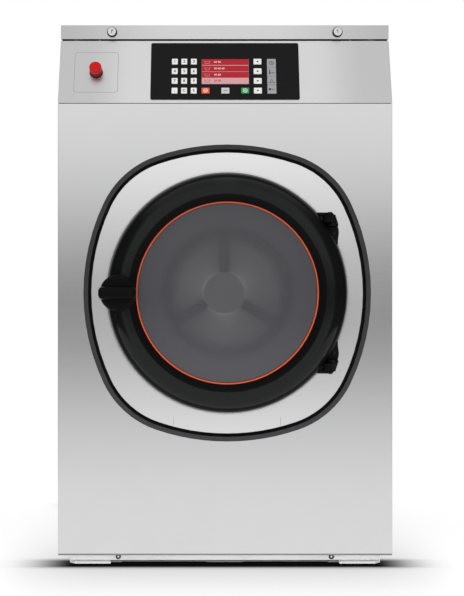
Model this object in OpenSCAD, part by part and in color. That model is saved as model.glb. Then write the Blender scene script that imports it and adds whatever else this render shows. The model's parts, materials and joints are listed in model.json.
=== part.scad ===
// Front-loading washer-extractor, rigidly mounted on floor plates.
// Origin on the floor, midway between the four anchor holes.
// The front faces -Y, +X is to the right, +Z is up.

/* [Cabinet] */
// Width of the cabinet
cab_w = 710; // [690:5:780]
// Depth from the front panel's face to the rear panel's face
cab_d = 745; // [735:5:800]
// Height of the lower edge of the panels above the floor
skirt_z = 26; // [22:1:34]
// Height of the front panel
front_h = 956; // [940:4:1000]
// Thickness of the cabinet sheets
sheet = 1.5; // [1:0.25:2]
// Depth of the folded edges of the front panel and the fascia
fold_d = 22; // [16:1:30]
// Width of the joint line between two panels
seam = 1.2; // [0.8:0.1:2]

/* [Control fascia] */
// Tilt of the fascia from the vertical, in degrees
tilt = 20; // [15:1:24]
// Height that the fascia rises
fascia_rise = 143; // [140:1:160]
// Height of the top lid
lid_h = 30; // [28:1:36]
// Gap between the cabinet and the top lid
lid_gap = 4; // [3:0.5:6]

/* [Keypad] */
// Width of the black control overlay
overlay_w = 318; // [310:1:330]
// Length of the overlay up the slope
overlay_l = 138; // [134:1:142]
// Thickness of the overlay
overlay_t = 1.5; // [1:0.25:2]
// Width of a number key
key_w = 12.4; // [10:0.2:14]
// Length of a number key up the slope
key_l = 13.6; // [10:0.2:15]
// Width of the action and arrow keys
wide_key_w = 16.8; // [14:0.2:18]
// Travel of a key
key_travel = 0.8; // [0.4:0.1:1]
// Height of a key above the overlay
key_proud = 1; // [0.8:0.1:1.6]
// Diameter of the emergency stop button
estop_dia = 26; // [22:1:32]
// Height of the emergency stop button above the fascia
estop_proud = 24; // [18:1:30]
// Travel of the emergency stop button
estop_travel = 5; // [3:0.5:6]

/* [Opening] */
// Height of the drum axis above the floor
axis_z = 580; // [575:1:590]
// Offset of the drum axis from the cabinet's centre
axis_x = 4.5; // [0:0.5:8]
// Width of the opening over its trim
open_w = 610; // [600:2:620]
// Height of the opening over its trim
open_h = 630; // [622:2:640]
// Radius of the outline's left and right arcs
side_arc_r = 446; // [430:2:470]
// Radius of the outline's upper and lower arcs
top_arc_r = 467; // [450:2:490]
// Radius of the outline's corner arcs
corner_arc_r = 191; // [170:1:210]
// Width of the rubber trim
trim_w = 10; // [8:0.5:12]
// Width of the rubber lip between the trim and the tub front
lip_w = 5.2; // [4:0.2:8]
// Distance of the tub front's face behind the front panel's face
plate_recess = 12; // [10:1:16]

/* [Tub and drum] */
// Outer radius of the tub
tub_r = 303; // [298:1:306]
// Thickness of the tub sheet
tub_wall = 3; // [2:0.5:4]
// Distance from the face of the tub front to the back of its disc
tub_box_d = 40; // [38:1:46]
// Length of the tub behind its front disc
tub_len = 505; // [495:1:510]
// Inner radius of the loading neck
neck_r = 175; // [174:1:178]
// Outer radius of the drum
drum_r = 275; // [265:1:280]
// Length of the drum
drum_len = 450; // [430:1:455]
// Thickness of the drum sheet
drum_wall = 2; // [1.5:0.25:3]
// Inner radius of the drum's mouth
mouth_r = 166; // [160:1:168]
// Number of lifting ribs in the drum
lifters = 3; // [3:1:4]
// Height of a lifting rib
lifter_h = 55; // [40:1:60]
// Radius of the drum shaft
shaft_r = 25; // [20:1:28]
// Outer radius of the shaft bearings
bearing_r = 45; // [40:1:48]

/* [Drive] */
// Running radius of the drum pulley
big_pulley_r = 190; // [170:2:195]
// Running radius of the motor pulley
small_pulley_r = 38; // [30:1:42]
// Width of the drive belt
belt_w = 22; // [16:1:24]
// Thickness of the drive belt
belt_t = 5; // [3:0.5:6]
// Radius of the motor body
motor_r = 80; // [70:1:82]
// Length of the motor body
motor_len = 200; // [160:5:220]
// Distance of the motor from the cabinet's centre
motor_x = 150; // [145:1:170]

/* [Door] */
// Outer radius of the door ring
ring_r = 250; // [246:1:252]
// Height of the door ring's crest ahead of the tub front
ring_crest = 70; // [66:1:74]
// Radius of the crease at the inner side of the ring
crease_r = 204.5; // [202:0.5:208]
// Inner radius of the door ring
ring_in_r = 191.5; // [190:0.5:194]
// Thickness of the door ring's shell
ring_wall = 4; // [3:0.5:5]
// Width of the coloured accent ring
accent_w = 3; // [2:0.5:6]
// Thickness of the door glass
glass_t = 8; // [6:0.5:10]
// Distance of the hinge axis from the drum axis
hinge_dx = 222.5; // [221:0.5:226]
// Distance of the hinge axis ahead of the tub front
hinge_out = 39.5; // [39:0.5:42]
// Height of the middle of each hinge from the drum axis
hinge_dz = 155.5; // [153:0.5:158]
// Radius of the hinge pin
hinge_pin_r = 5; // [4:0.5:6]
// Distance of the door knob from the drum axis
knob_dx = 227; // [225:0.5:229]
// Radius of the door knob's disc
knob_r = 34; // [30:0.5:36]
// Length of the grip bar
grip_l = 76; // [60:1:80]
// Height of the grip bar
grip_h = 24; // [18:1:28]

/* [Services] */
// Outer radius of the drain spigot
drain_r = 38; // [30:1:40]
// Wall of the drain spigot
drain_wall = 3; // [2:0.5:4]
// Outer radius of the threads on the water inlets
inlet_r = 13.2; // [10:0.2:15]
// Number of water inlets
inlets = 3; // [2:1:3]
// Radius of the hole in the cable gland
gland_r = 10; // [6:0.5:14]
// Height of the soap box's collar above the top lid
soap_proud = 8; // [6:1:14]
// Number of soap compartments
soap_rooms = 3; // [2:1:4]

/* [Base] */
// Width of the base frame
base_w = 668; // [640:4:680]
// Distance of the base frame's front behind the front panel's face
base_setback = 40; // [36:1:50]
// Width of a base rail
rail_w = 40; // [30:1:50]
// Height of the base rails' upper face above the floor
rail_top = 60; // [50:1:64]
// Thickness of the floor plates
foot_t = 5; // [4:0.5:8]
// Side of a floor plate
foot_s = 88; // [80:1:96]
// Radius of the anchor holes
anchor_r = 7; // [5:0.5:9]
// Distance of the anchor holes from the floor plate's outer edges
anchor_in = 62; // [56:1:66]

/* [Hidden] */
// Running clearance of shafts and pins, and plain gap between seated pieces
run = 0.05;
gap = 0.3;
// Side clearance of a key in its hole
key_gap = 0.3;
over = 1;
$fn = 96;

front_y = -cab_d/2;
rear_y = cab_d/2;
plate_y = front_y + plate_recess;
fascia_z = skirt_z + front_h + seam;
fascia_run = fascia_rise*tan(tilt);
fascia_len = fascia_rise/cos(tilt);
shoulder_z = fascia_z + fascia_rise;
lid_z = shoulder_z + lid_gap;
top_z = lid_z + lid_h;
lid_front_y = front_y + fascia_run;
side_x = cab_w/2;
side_fold = 18;
fold_end = 30;
panel_cut = trim_w*0.45;
trim_t = 3;
lip_t = 2;

// Stations along the drum axis, counted ahead of the tub front's face
plate_t = 3;
seat_r = ring_r + 9.5;
seat_d = 1.5;
disc_z = -tub_box_d;
tub_end_z = disc_z - tub_len;
tub_flange = 7;
tub_back_t = 4;
neck_wall = 3;
neck_end = 5;
drum_front_z = disc_z - 20;
drum_back_z = drum_front_z - drum_len;
drum_hub_r = 52;
spoke_w = 28;
lifter_end = 30;
lifter_wall = 2;
lifter_w = 76;
lifter_top_w = 20;
spider_t = 18;
spider_z = drum_back_z - gap - spider_t;
housing_l = 95;
housing_r = bearing_r + 17;
housing_z = tub_end_z - housing_l;
flange_r = bearing_r + 75;
flange_t = 12;
web_t = 8;
web_sink = 4;
web_end = 20;
flange_bolt_r = 5;
seat_gap = 0.02;
bearing_w = 25;
race_t = 7;
race_gap = 0.1;
belt_z = housing_z - 13 - belt_w/2;
pulley_half = belt_w/2 + 2;
shaft_end_z = belt_z - pulley_half - 9;

// Door stations
frame_r = 232;
frame_z = 1;
frame_t = 12;
collar_in_r = neck_r - 3;
glass_z = 38;
flange_z = glass_z + glass_t;
accent_out_r = ring_in_r - gap;
accent_in_r = accent_out_r - accent_w;
pane_r = accent_in_r - gap;
bowl_r = 150;
bowl_seat_z = 3;
bowl_slope = 0.26;
// The bowl ends just ahead of the drum's lip, so the door closes clear of it
mouth_lip = 12;
lip_gap = 2;
bowl_end_z = drum_front_z + mouth_lip + lip_gap;
seal_d = 16;
seal_rise = 2.2;
glass_flange_r = ring_in_r - 5.5;
rim_z = 17;
rim_top_z = 26;
crest_r = 214;
crease_z = ring_crest + 1;
lip_z = 55;
pad_r = knob_r + 2.5;
pad_z = ring_crest + 2;
knob_spindle_r = 7;
cam_l = 30;
cam_h = 11;
cam_z = -14;
cam_t = 6;
cam_neck_r = 5;
lock_cavity_r = cam_l/2 + 3;
slot_l = cam_l + 7;
slot_h = cam_h + 4;
lock_d = 33;
knuckle_r = 13;
knuckle_h = 15;
ear_h = 7.5;
ear_gap = 0.5;
arm_l = 70;
arm_out = 20;
arm_in = 14;
arm_z = 3;
arm_t = 10;
bracket_x = hinge_dx - 12.5;
bracket_t = 12;
bracket_tail = 36;
bracket_cut = [9, 11];

// Motor and belt
motor_z = rail_top + 8 + motor_r;
motor_back_z = housing_z + 5;
motor_shaft_r = 12;
motor_boss = 8;
belt_clear = 0.3;
motor_rails_y = [90, 200];
motor_rail_w = 30;

// Drain
drain_y = -150;
drain_z = 150;
sump_r = 33;
sump_h = 30;
sump_z = axis_z - tub_r - sump_h + 10;
valve_r = 48;
valve_foot = 40;
valve_neck = 12;
drain_out = 32;
gland_x = side_x - 55;
gland_z = 200;
gland_l = 12;

// Soap box and fill duct
soap_x = [55 - side_x, 295 - side_x];
soap_y = [60, 290];
soap_wall = 3;
soap_floor_z = lid_z - 120;
soap_top_z = top_z + soap_proud;
soap_cut = 6;
soap_pass = 12;
soap_slot_w = 3.6;
soap_slot_l = 26;
soap_slots = 5;
duct_x = soap_x[1] - 40;
duct_y = 180;
duct_r = 28.7;
duct_in_z = axis_z + sqrt(pow(tub_r, 2) - pow(duct_x - axis_x, 2));
duct_sink = 20;
duct_collar = 50;
flap_t = 3;
flap_pin_r = 3;
flap_grip_w = 60;
flap_pin_z = soap_top_z + 5;
flap_pin_y = soap_y[1] + 6;

// Inverter box under the top lid
inverter_out_x = side_x - sheet - gap;
inverter_w = 223;
inverter_x = inverter_out_x - inverter_w;
fin_pitch = 20;
fin_t = 4;
fin_h = 15;
inverter_y = 60;
inverter_d = 260;
inverter_h = 160;
inverter_z = lid_z - 30 - inverter_h;
inverter_wall = 2;

// Lid hinge and locks
lid_pin_r = 3;
lid_knuckle_r = 6.5;
lid_pin_y = rear_y + lid_knuckle_r - 1;
lid_pin_z = top_z - 2;
lid_hinge_x = side_x - 135;
lid_hinge_l = 60;
lock_x = side_x - 111;
lock_z = lid_z + lid_h/2;
lock_r = 9;
tongue_l = 18;
catch_in = 12;

// Base
base_front_y = front_y + base_setback;
base_rear_y = -base_front_y;
anchor_x = base_w/2 - anchor_in;
anchor_y = base_rear_y - anchor_in;
foot_cut = 12;
foot_out = 16;
rail_wall = 4;
centre_pad_w = 78;
centre_pad_z = 2;
bolt_x = 229.5;
bolt_z = 12;
plinth_bolt_r = 3;
plinth_bolt_l = 20;
cradle_y = [-230, 62];
cradle_t = 10;
cradle_in_x = 200;
cradle_gap = 0.2;
cradle_drop = 130;

// Places on the fascia: across, and up the slope
key_cols = [-107.5, -87.3, -66.7];
key_rows = [28.8, 52.4, 76, 99.6];
action_x = [-41.5, 0.7, 42.8];
arrow_x = 70;
screen_x = 0.7;
screen_s = 75.8;
screen_w = 101;
screen_l = 61;
overlay_s = 8;
window_edge = 6;
estop_x = 79 - side_x;
estop_s = 74.6;
board_gap = 5;
overlay_r = 4;
key_r = 1;
stop_plate_w = 94;
stop_plate_l = 98;
stop_plate_r = 5.4;
groove_w = 0.8;
groove_d = 0.7;

// Each key: name, place across, place up the slope, width, colour
number_names = [["key_dot", "key_clear", "key_set"], ["key_7", "key_8", "key_9"],
    ["key_4", "key_5", "key_6"], ["key_1", "key_2", "key_3"]];
action_keys = [["key_stop", "orangered"], ["key_enter", "lightgray"], ["key_start", "limegreen"]];
arrow_names = ["key_right", "key_left", "key_down", "key_up"];
KEYS = concat(
    [for (r = [0:3], c = [0:2]) [number_names[r][c], key_cols[c], key_rows[r], key_w, "white"]],
    [for (i = [0:2]) [action_keys[i][0], action_x[i], key_rows[0], wide_key_w, action_keys[i][1]]],
    [for (r = [0:3]) [arrow_names[r], arrow_x, key_rows[r], wide_key_w, "white"]]);

// Outline of the opening: four large arcs joined by four corner arcs, drawn in by inset
function opening_corner() =
    let (a = [open_w/2 - side_arc_r, 0], b = [0, open_h/2 - top_arc_r],
         p = side_arc_r - corner_arc_r, q = top_arc_r - corner_arc_r,
         d = norm(b - a), e = (p*p - q*q + d*d)/(2*d), h = sqrt(p*p - e*e), u = (b - a)/d)
    a + e*u + h*[-u[1], u[0]]*(-u[1] > 0 ? 1 : -1);
function arc_points(c, r, from, to, n) =
    [for (i = [0:n - 1]) let (t = from + (to - from)*i/n) c + r*[cos(t), sin(t)]];
function opening_quarter(inset) =
    let (c = opening_corner(), a = [open_w/2 - side_arc_r, 0], b = [0, open_h/2 - top_arc_r],
         t1 = atan2(c[1], c[0] - a[0]), t2 = atan2(c[1] - b[1], c[0]))
    concat(arc_points(a, side_arc_r - inset, 0, t1, 6),
           arc_points(c, corner_arc_r - inset, t1, t2, 10),
           arc_points(b, top_arc_r - inset, t2, 90, 6));
function turned(points, sx, sy) = [for (p = points) [p[0]*sx, p[1]*sy]];
function reversed(points) = [for (i = [len(points) - 1:-1:0]) points[i]];
function without_first(points) = [for (i = [1:len(points) - 1]) points[i]];
function opening_points(inset) =
    let (q = opening_quarter(inset), top = [[0, open_h/2 - inset]],
         half = concat(q, top, turned(reversed(without_first(q)), -1, 1)),
         left = [[-(open_w/2 - inset), 0]])
    concat(half, left, turned(reversed(without_first(half)), 1, -1));

module opening_shape(inset) polygon(opening_points(inset));

// A wall that follows the opening's outline between two insets
module opening_band(outer, inner, low, high) difference() {
    translate([0, 0, low]) linear_extrude(high - low) opening_shape(outer);
    translate([0, 0, low - over]) linear_extrude(high - low + 2*over) opening_shape(inner);
}

// Places what follows on the drum axis, with local z ahead of the tub front's face
module on_axis() translate([axis_x, plate_y, axis_z]) rotate([90, 0, 0]) children();

// Places what follows on the fascia: x across, z up the slope, -y outwards
module on_fascia(x = 0, s = 0)
    translate([0, front_y, fascia_z]) rotate([-tilt, 0, 0]) translate([x, 0, s]) children();

module tube(r_out, r_in, z0, z1) translate([0, 0, z0]) difference() {
    cylinder(r = r_out, h = z1 - z0);
    translate([0, 0, -over]) cylinder(r = r_in, h = z1 - z0 + 2*over);
}

// A flat rectangle with round corners, about its middle
module round_plate(w, l, r) union() {
    square([w - 2*r, l], center = true);
    square([w, l - 2*r], center = true);
    for (x = [-1, 1], y = [-1, 1]) translate([x*(w/2 - r), y*(l/2 - r)]) circle(r = r, $fn = 24);
}

module rod(r, z0, z1) translate([0, 0, z0]) cylinder(r = r, h = z1 - z0);

// A box given by its low and high corners
module block(low, high) translate(low) cube(high - low);

module ring_of(n, r, start = 0)
    for (i = [0:n - 1]) rotate(start + i*360/n) translate([r, 0, 0]) children();

// Welded box rails on four floor plates, with two cross rails for the motor
module base_frame() color("gainsboro") difference() {
    union() {
        rails(0);
        for (sx = [-1, 1], sy = [-1, 1]) scale([sx, sy, 1]) floor_plate();
        block([-centre_pad_w/2, base_front_y, centre_pad_z],
            [centre_pad_w/2, base_front_y + rail_w/2, foot_t + over]);
    }
    rails(rail_wall);
    for (sx = [-1, 1], sy = [-1, 1])
        translate([sx*anchor_x, sy*anchor_y, -over]) cylinder(r = anchor_r, h = foot_t + 2*over);
    for (s = [-1, 1]) translate([s*bolt_x, base_front_y - over, bolt_z]) rotate([-90, 0, 0])
        cylinder(r = plinth_bolt_r + run, h = plinth_bolt_l + 2*over);
}

// The rails as solid bars, or drawn in by their wall to hollow them
module rails(t) {
    x = base_w/2;
    for (s = [-1, 1])
        block([s*(x - rail_w/2) - rail_w/2 + t, base_front_y + t, foot_t + t],
            [s*(x - rail_w/2) + rail_w/2 - t, base_rear_y - t, rail_top - t]);
    for (y = [base_front_y, base_rear_y - rail_w])
        block([t - x, y + t, foot_t + t], [x - t, y + rail_w - t, rail_top - t]);
    for (y = motor_rails_y)
        block([t - x, y + t, foot_t + t], [x - t, y + motor_rail_w - t, rail_top - t]);
}

// One floor plate, with its outer corner cut off
module floor_plate() linear_extrude(foot_t) polygon([
    [base_w/2 - foot_s, base_rear_y - foot_s], [base_w/2, base_rear_y - foot_s],
    [base_w/2, base_rear_y + foot_out - foot_cut], [base_w/2 - foot_cut, base_rear_y + foot_out],
    [base_w/2 - foot_s, base_rear_y + foot_out]]);

// Side outline: upright front edge, then the slope of the fascia
function side_outline(front) = [[front, skirt_z], [front, fascia_z],
    [front + fascia_run, shoulder_z], [rear_y - sheet - gap, shoulder_z],
    [rear_y - sheet - gap, skirt_z]];

// Flat sheet with a folded edge below, behind and above
module side_panel() {
    front = front_y + fold_d + gap;
    back = rear_y - sheet - gap;
    translate([side_x - sheet, 0, 0]) rotate([90, 0, 90]) linear_extrude(sheet)
        polygon(side_outline(front));
    block([base_w/2 + gap, front, skirt_z], [side_x - sheet/2, back - fold_d, skirt_z + sheet]);
    block([side_x - side_fold, back - sheet, skirt_z + fold_end],
        [side_x - sheet/2, back, shoulder_z - fold_end]);
    block([side_x - side_fold, front + fascia_run + fold_end, shoulder_z - sheet],
        [side_x - sheet/2, back - fold_end, shoulder_z]);
}

module left_side_panel() color("silver") mirror([1, 0, 0]) side_panel();
module right_side_panel() color("silver") side_panel();

module front_panel() color("silver") difference() {
    block([-side_x, front_y, skirt_z], [side_x, front_y + fold_d, skirt_z + front_h]);
    block([-side_x + sheet, front_y + sheet, skirt_z + sheet],
        [side_x - sheet, front_y + fold_d + over, skirt_z + front_h - sheet]);
    translate([axis_x, front_y - over, axis_z]) rotate([-90, 0, 0])
        linear_extrude(fold_d) opening_shape(panel_cut);
}

// Rubber trim: a flat lip on the panel, a web through the opening and a lip to the tub front
module opening_trim() color([0.28, 0.28, 0.29]) translate([axis_x, front_y, axis_z])
    rotate([90, 0, 0]) {
        opening_band(0, trim_w, 0, trim_t);
        opening_band(panel_cut + gap, trim_w, -plate_recess, over);
        opening_band(panel_cut + gap, trim_w + lip_w, -plate_recess - lip_t, -plate_recess + lip_t/4);
    }

module control_fascia() color("silver") difference() {
    union() {
        difference() {
            fascia_body(0);
            fascia_body(1);
        }
        on_fascia(estop_x, estop_s) rotate([90, 0, 0]) rod(estop_dia/2 + 6, -4, 0);
        for (s = [-1, 1]) lock_catch(s);
    }
    on_fascia(0, overlay_s + overlay_l/2)
        cube([overlay_w - 2*window_edge, 40, overlay_l - 2*window_edge], center = true);
    on_fascia(estop_x, estop_s) {
        rotate([90, 0, 0]) rod(estop_dia/2 + 1.5, -20, 10);
        rotate([90, 0, 0]) translate([0, 0, -groove_d]) difference() {
            linear_extrude(2) round_plate(stop_plate_w, stop_plate_l, stop_plate_r);
            translate([0, 0, -over]) linear_extrude(4)
                round_plate(stop_plate_w - 2*groove_w, stop_plate_l - 2*groove_w, stop_plate_r - groove_w);
        }
    }
}

// The fascia as a solid block, or drawn in by one sheet to hollow it
module fascia_body(inner) {
    t = inner*sheet;
    c = inner*over;
    translate([-side_x + t, 0, 0]) rotate([90, 0, 90]) linear_extrude(cab_w - 2*t) polygon([
        [front_y + t/cos(tilt) + t*tan(tilt), fascia_z + t],
        [front_y + fascia_run + t/cos(tilt) - t*tan(tilt), shoulder_z - t],
        [front_y + fascia_run + fold_d + c, shoulder_z - t],
        [front_y + fold_d + c, fascia_z + t]]);
}

// Catch beside a lid lock, with a lip that the tongue turns under
module lock_catch(side) scale([side, 1, 1]) {
    y = lid_front_y + 9;
    block([lock_x + tongue_l + 9, y, shoulder_z - 18],
        [lock_x + tongue_l + 11.5, y + 10, lock_z + 9]);
    block([lock_x + catch_in, y, lock_z + 6.5], [lock_x + tongue_l + 11.5, y + 10, lock_z + 9]);
    block([lock_x + tongue_l + 9, lid_front_y + over, shoulder_z - 18],
        [lock_x + tongue_l + 11.5, y + over, shoulder_z - sheet/2]);
}

module keypad_overlay() color([0.13, 0.13, 0.13]) on_fascia() difference() {
    translate([0, 0, overlay_s + overlay_l/2]) rotate([90, 0, 0]) linear_extrude(overlay_t)
        round_plate(overlay_w, overlay_l, overlay_r);
    for (k = KEYS) translate([k[1] - k[3]/2 - key_gap, -overlay_t - over, k[2] - key_l/2 - key_gap])
        cube([k[3] + 2*key_gap, overlay_t + 2*over, key_l + 2*key_gap]);
    translate([screen_x - screen_w/2 - gap, -overlay_t - over, screen_s - screen_l/2 - gap])
        cube([screen_w + 2*gap, overlay_t + 2*over, screen_l + 2*gap]);
}

module display_screen() color([0.75, 0.2, 0.22]) on_fascia(screen_x, screen_s) {
    translate([-screen_w/2, -overlay_t + 0.4, -screen_l/2])
        cube([screen_w, overlay_t + board_gap - 0.4, screen_l]);
}

// Circuit board behind the overlay, with a dome switch under each key
module control_board() color("darkgreen") on_fascia() {
    board_w = overlay_w - 2*window_edge - 8;
    board_l = overlay_l - 2*window_edge - 8;
    translate([-board_w/2, board_gap, overlay_s + overlay_l/2 - board_l/2])
        cube([board_w, 1.6, board_l]);
    for (k = KEYS) translate([k[1], board_gap, k[2]]) rotate([90, 0, 0]) rod(4, -0.5, 0.5);
    for (x = [-board_w/2 + 6, board_w/2 - 6], s = [-board_l/2 + 6, board_l/2 - 6])
        translate([x, board_gap, overlay_s + overlay_l/2 + s]) rotate([90, 0, 0]) rod(3, -0.5, board_gap);
    for (x = [-90, -10, 70]) translate([x, board_gap + 1, 62]) cube([46, 12, 28]);
}

// One key: cap, retaining flange behind the overlay and plunger over its switch
module key(k) color(k[4]) on_fascia(k[1], k[2]) {
    rotate([90, 0, 0]) translate([0, 0, -gap - 0.5]) linear_extrude(overlay_t + key_proud + gap + 0.5)
        round_plate(k[3], key_l, key_r);
    translate([-k[3]/2 - 1.2, gap, -key_l/2 - 1.2]) cube([k[3] + 2.4, 1, key_l + 2.4]);
    rotate([90, 0, 0]) rod(2.5, -(board_gap - 0.5 - key_travel - 0.2), -over/2);
}

module estop_body() color([0.2, 0.2, 0.21]) on_fascia(estop_x, estop_s) rotate([90, 0, 0])
    difference() {
        union() {
            rod(estop_dia/2 + 1.3, -10, 1.5);
            rod(estop_dia/2 + 5, -16, -4.3);
            translate([-17, -17, -50]) cube([34, 34, 35]);
        }
        rod(estop_dia/2 + 0.4, -7.5, 3.5);
        rod(6 + run, -35, 0);
    }

module estop_button() color("crimson") on_fascia(estop_x, estop_s) rotate([90, 0, 0]) {
    rod(estop_dia/2, -7 + estop_travel, estop_proud);
    rod(6, -34 + estop_travel, 0);
}

module top_lid() color("silver") {
    difference() {
        block([-side_x, lid_front_y, lid_z], [side_x, rear_y - sheet - gap, top_z]);
        block([-side_x + sheet, lid_front_y + sheet, lid_z - over],
            [side_x - sheet, rear_y - 2*sheet - gap, top_z - sheet]);
        block([soap_x[0] - soap_cut, soap_y[0] - soap_cut, lid_z],
            [soap_x[1] + soap_cut, soap_y[1] + soap_cut + 8, top_z + over]);
        for (s = [-1, 1]) translate([s*lock_x, lid_front_y - over, lock_z]) rotate([-90, 0, 0])
            cylinder(r = lock_r - 2, h = sheet + 2*over);
    }
    for (s = [-1, 1]) difference() {
        union() {
            translate([s*lid_hinge_x - lid_hinge_l/6, lid_pin_y, lid_pin_z]) rotate([0, 90, 0])
                cylinder(r = lid_knuckle_r, h = lid_hinge_l/3);
            block([s*lid_hinge_x - lid_hinge_l/6, rear_y - 3*sheet, top_z - sheet],
                [s*lid_hinge_x + lid_hinge_l/6, lid_pin_y, top_z + sheet]);
        }
        translate([s*lid_hinge_x - lid_hinge_l/2, lid_pin_y, lid_pin_z]) rotate([0, 90, 0])
            cylinder(r = lid_pin_r + run, h = lid_hinge_l);
    }
}

// Quarter-turn lock: keyed face, barrel through the lid and a tongue that hangs down
module lid_lock(side) color("lightgray") translate([side*lock_x, lid_front_y, lock_z])
    rotate([90, 0, 0]) {
        difference() {
            rod(lock_r, gap, 8);
            translate([-0.8, -4.5, 5]) cube([1.6, 9, 4]);
        }
        rod(lock_r + 1.3, gap, 3);
        rod(lock_r - 2 - run, -12, over);
        translate([0, 0, -15]) linear_extrude(3) union() {
            circle(r = 5);
            translate([-4, -tongue_l]) square([8, tongue_l]);
        }
    }
module lid_lock_left() lid_lock(-1);
module lid_lock_right() lid_lock(1);

// Open box with a slotted outlet, two dividers that stand clear of its floor, a duct to the tub
module soap_box() color("whitesmoke") {
    deep = soap_top_z - soap_floor_z - soap_wall;
    difference() {
        block([soap_x[0], soap_y[0], soap_floor_z], [soap_x[1], soap_y[1], soap_top_z]);
        block([soap_x[0] + soap_wall, soap_y[0] + soap_wall, soap_floor_z + soap_wall],
            [soap_x[1] - soap_wall, soap_y[1] - soap_wall, soap_top_z + over]);
        for (i = [0:soap_slots - 1])
            translate([duct_x + (i - (soap_slots - 1)/2)*2*soap_slot_w, duct_y, soap_floor_z])
                cube([soap_slot_w, soap_slot_l, 3*soap_wall], center = true);
    }
    for (i = [1:soap_rooms - 1])
        translate([soap_x[0] + i*(room_w + soap_wall), soap_y[0] + soap_wall + gap,
            soap_floor_z + soap_wall + soap_pass])
            cube([soap_wall, soap_y[1] - soap_y[0] - 2*(soap_wall + gap), deep - soap_pass]);
    translate([duct_x, duct_y, duct_in_z - duct_sink]) difference() {
        cylinder(r = duct_r, h = soap_floor_z - duct_in_z + duct_sink - gap);
        translate([0, 0, -over])
            cylinder(r = duct_r - soap_wall, h = soap_floor_z - duct_in_z + duct_sink + 2*over);
    }
    for (x = [for (d = [40, 180]) soap_x[0] + d]) difference() {
        union() {
            block([x, soap_y[1] - over, soap_top_z - 8], [x + 20, flap_pin_y, flap_pin_z + 4]);
            translate([x, flap_pin_y, flap_pin_z]) rotate([0, 90, 0]) cylinder(r = 4, h = 20);
        }
        block([x - over, soap_y[1] - 2*over, soap_top_z], [x + 21, soap_y[1] + 2.5, flap_pin_z + 5]);
    }
    for (d = [32, 172]) translate([soap_x[0] + d, flap_pin_y, flap_pin_z]) rotate([0, 90, 0])
        cylinder(r = flap_pin_r, h = 36);
}
room_w = (soap_x[1] - soap_x[0] - soap_wall*(soap_rooms + 1))/soap_rooms;

// Flap over the soap box, with eyes on the box's pins
module soap_flap() color("silver") {
    z = soap_top_z + gap;
    block([soap_x[0], soap_y[0], z], [soap_x[1], soap_y[1] - gap, z + flap_t]);
    for (x = [for (d = [32.5, 60.5, 172.5, 200.5]) soap_x[0] + d]) difference() {
        union() {
            block([x, soap_y[1] - 12, z + flap_t - over], [x + 7, flap_pin_y, z + flap_t + 4]);
            translate([x, flap_pin_y, flap_pin_z]) rotate([0, 90, 0]) cylinder(r = 5.5, h = 7);
        }
        translate([x - over, flap_pin_y, flap_pin_z]) rotate([0, 90, 0])
            cylinder(r = flap_pin_r + run, h = 9);
    }
    translate([(soap_x[0] + soap_x[1])/2 - flap_grip_w/2, soap_y[0] - 5, z])
        cube([flap_grip_w, 5 + over, flap_t]);
}

inlet_out = 20;
inlet_body = 20;
inlet_deep = 34;
coil_r = 15;
coil_h = 34;
inlet_hose_r = 8;
inlet_z = soap_floor_z + 50;
function inlet_x(i) = soap_x[0] + 40 + i*80;

module rear_panel() color("silver") {
    difference() {
        union() {
            block([-side_x, rear_y - sheet, skirt_z], [side_x, rear_y, top_z - 8]);
            block([-base_w/2, base_rear_y + gap, skirt_z], [base_w/2, rear_y - sheet/2, skirt_z + sheet]);
            translate([gland_x, rear_y - over, gland_z]) rotate([-90, 0, 0])
                cylinder(r = gland_r + 6, h = gland_l + over);
        }
        for (i = [0:inlets - 1]) translate([inlet_x(i), rear_y + over, inlet_z]) rotate([90, 0, 0])
            cylinder(r = inlet_r + 2, h = 4*sheet);
        translate([axis_x, rear_y + over, drain_z]) rotate([90, 0, 0])
            cylinder(r = drain_r + gap, h = 4*sheet);
        translate([gland_x, rear_y - 10, gland_z]) rotate([-90, 0, 0])
            cylinder(r = gland_r, h = gland_l + 20);
        for (i = [0:9]) block([140, rear_y - 3*sheet, 820 + i*22], [290, rear_y + over, 828 + i*22]);
    }
    for (s = [-1, 1]) {
        translate([s*lid_hinge_x - lid_hinge_l/2, lid_pin_y, lid_pin_z]) rotate([0, 90, 0])
            cylinder(r = lid_pin_r, h = lid_hinge_l);
        for (x = [-lid_hinge_l/2, lid_hinge_l/6 + 0.5]) {
            translate([s*lid_hinge_x + x, lid_pin_y, lid_pin_z]) rotate([0, 90, 0])
                cylinder(r = lid_knuckle_r, h = lid_hinge_l/3 - 0.5);
            block([s*lid_hinge_x + x, rear_y - sheet/2, lid_pin_z - 40],
                [s*lid_hinge_x + x + lid_hinge_l/3 - 0.5, rear_y + 2, lid_pin_z]);
        }
    }
}

// Solenoid valves behind the rear panel, with their threads outside
module inlet_valves() color("ivory") for (i = [0:inlets - 1]) translate([inlet_x(i), rear_y, inlet_z]) {
    rotate([-90, 0, 0]) rod(inlet_r, -sheet - 4, inlet_out);
    block([-inlet_body, -sheet - inlet_deep, -inlet_body], [inlet_body, -sheet, inlet_body]);
    translate([0, -sheet - coil_r - 3, inlet_body - 2]) cylinder(r = coil_r, h = coil_h);
    rotate([90, 0, 0]) rod(inlet_hose_r, sheet + inlet_deep - 4, rear_y - soap_y[1] - gap);
}

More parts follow.
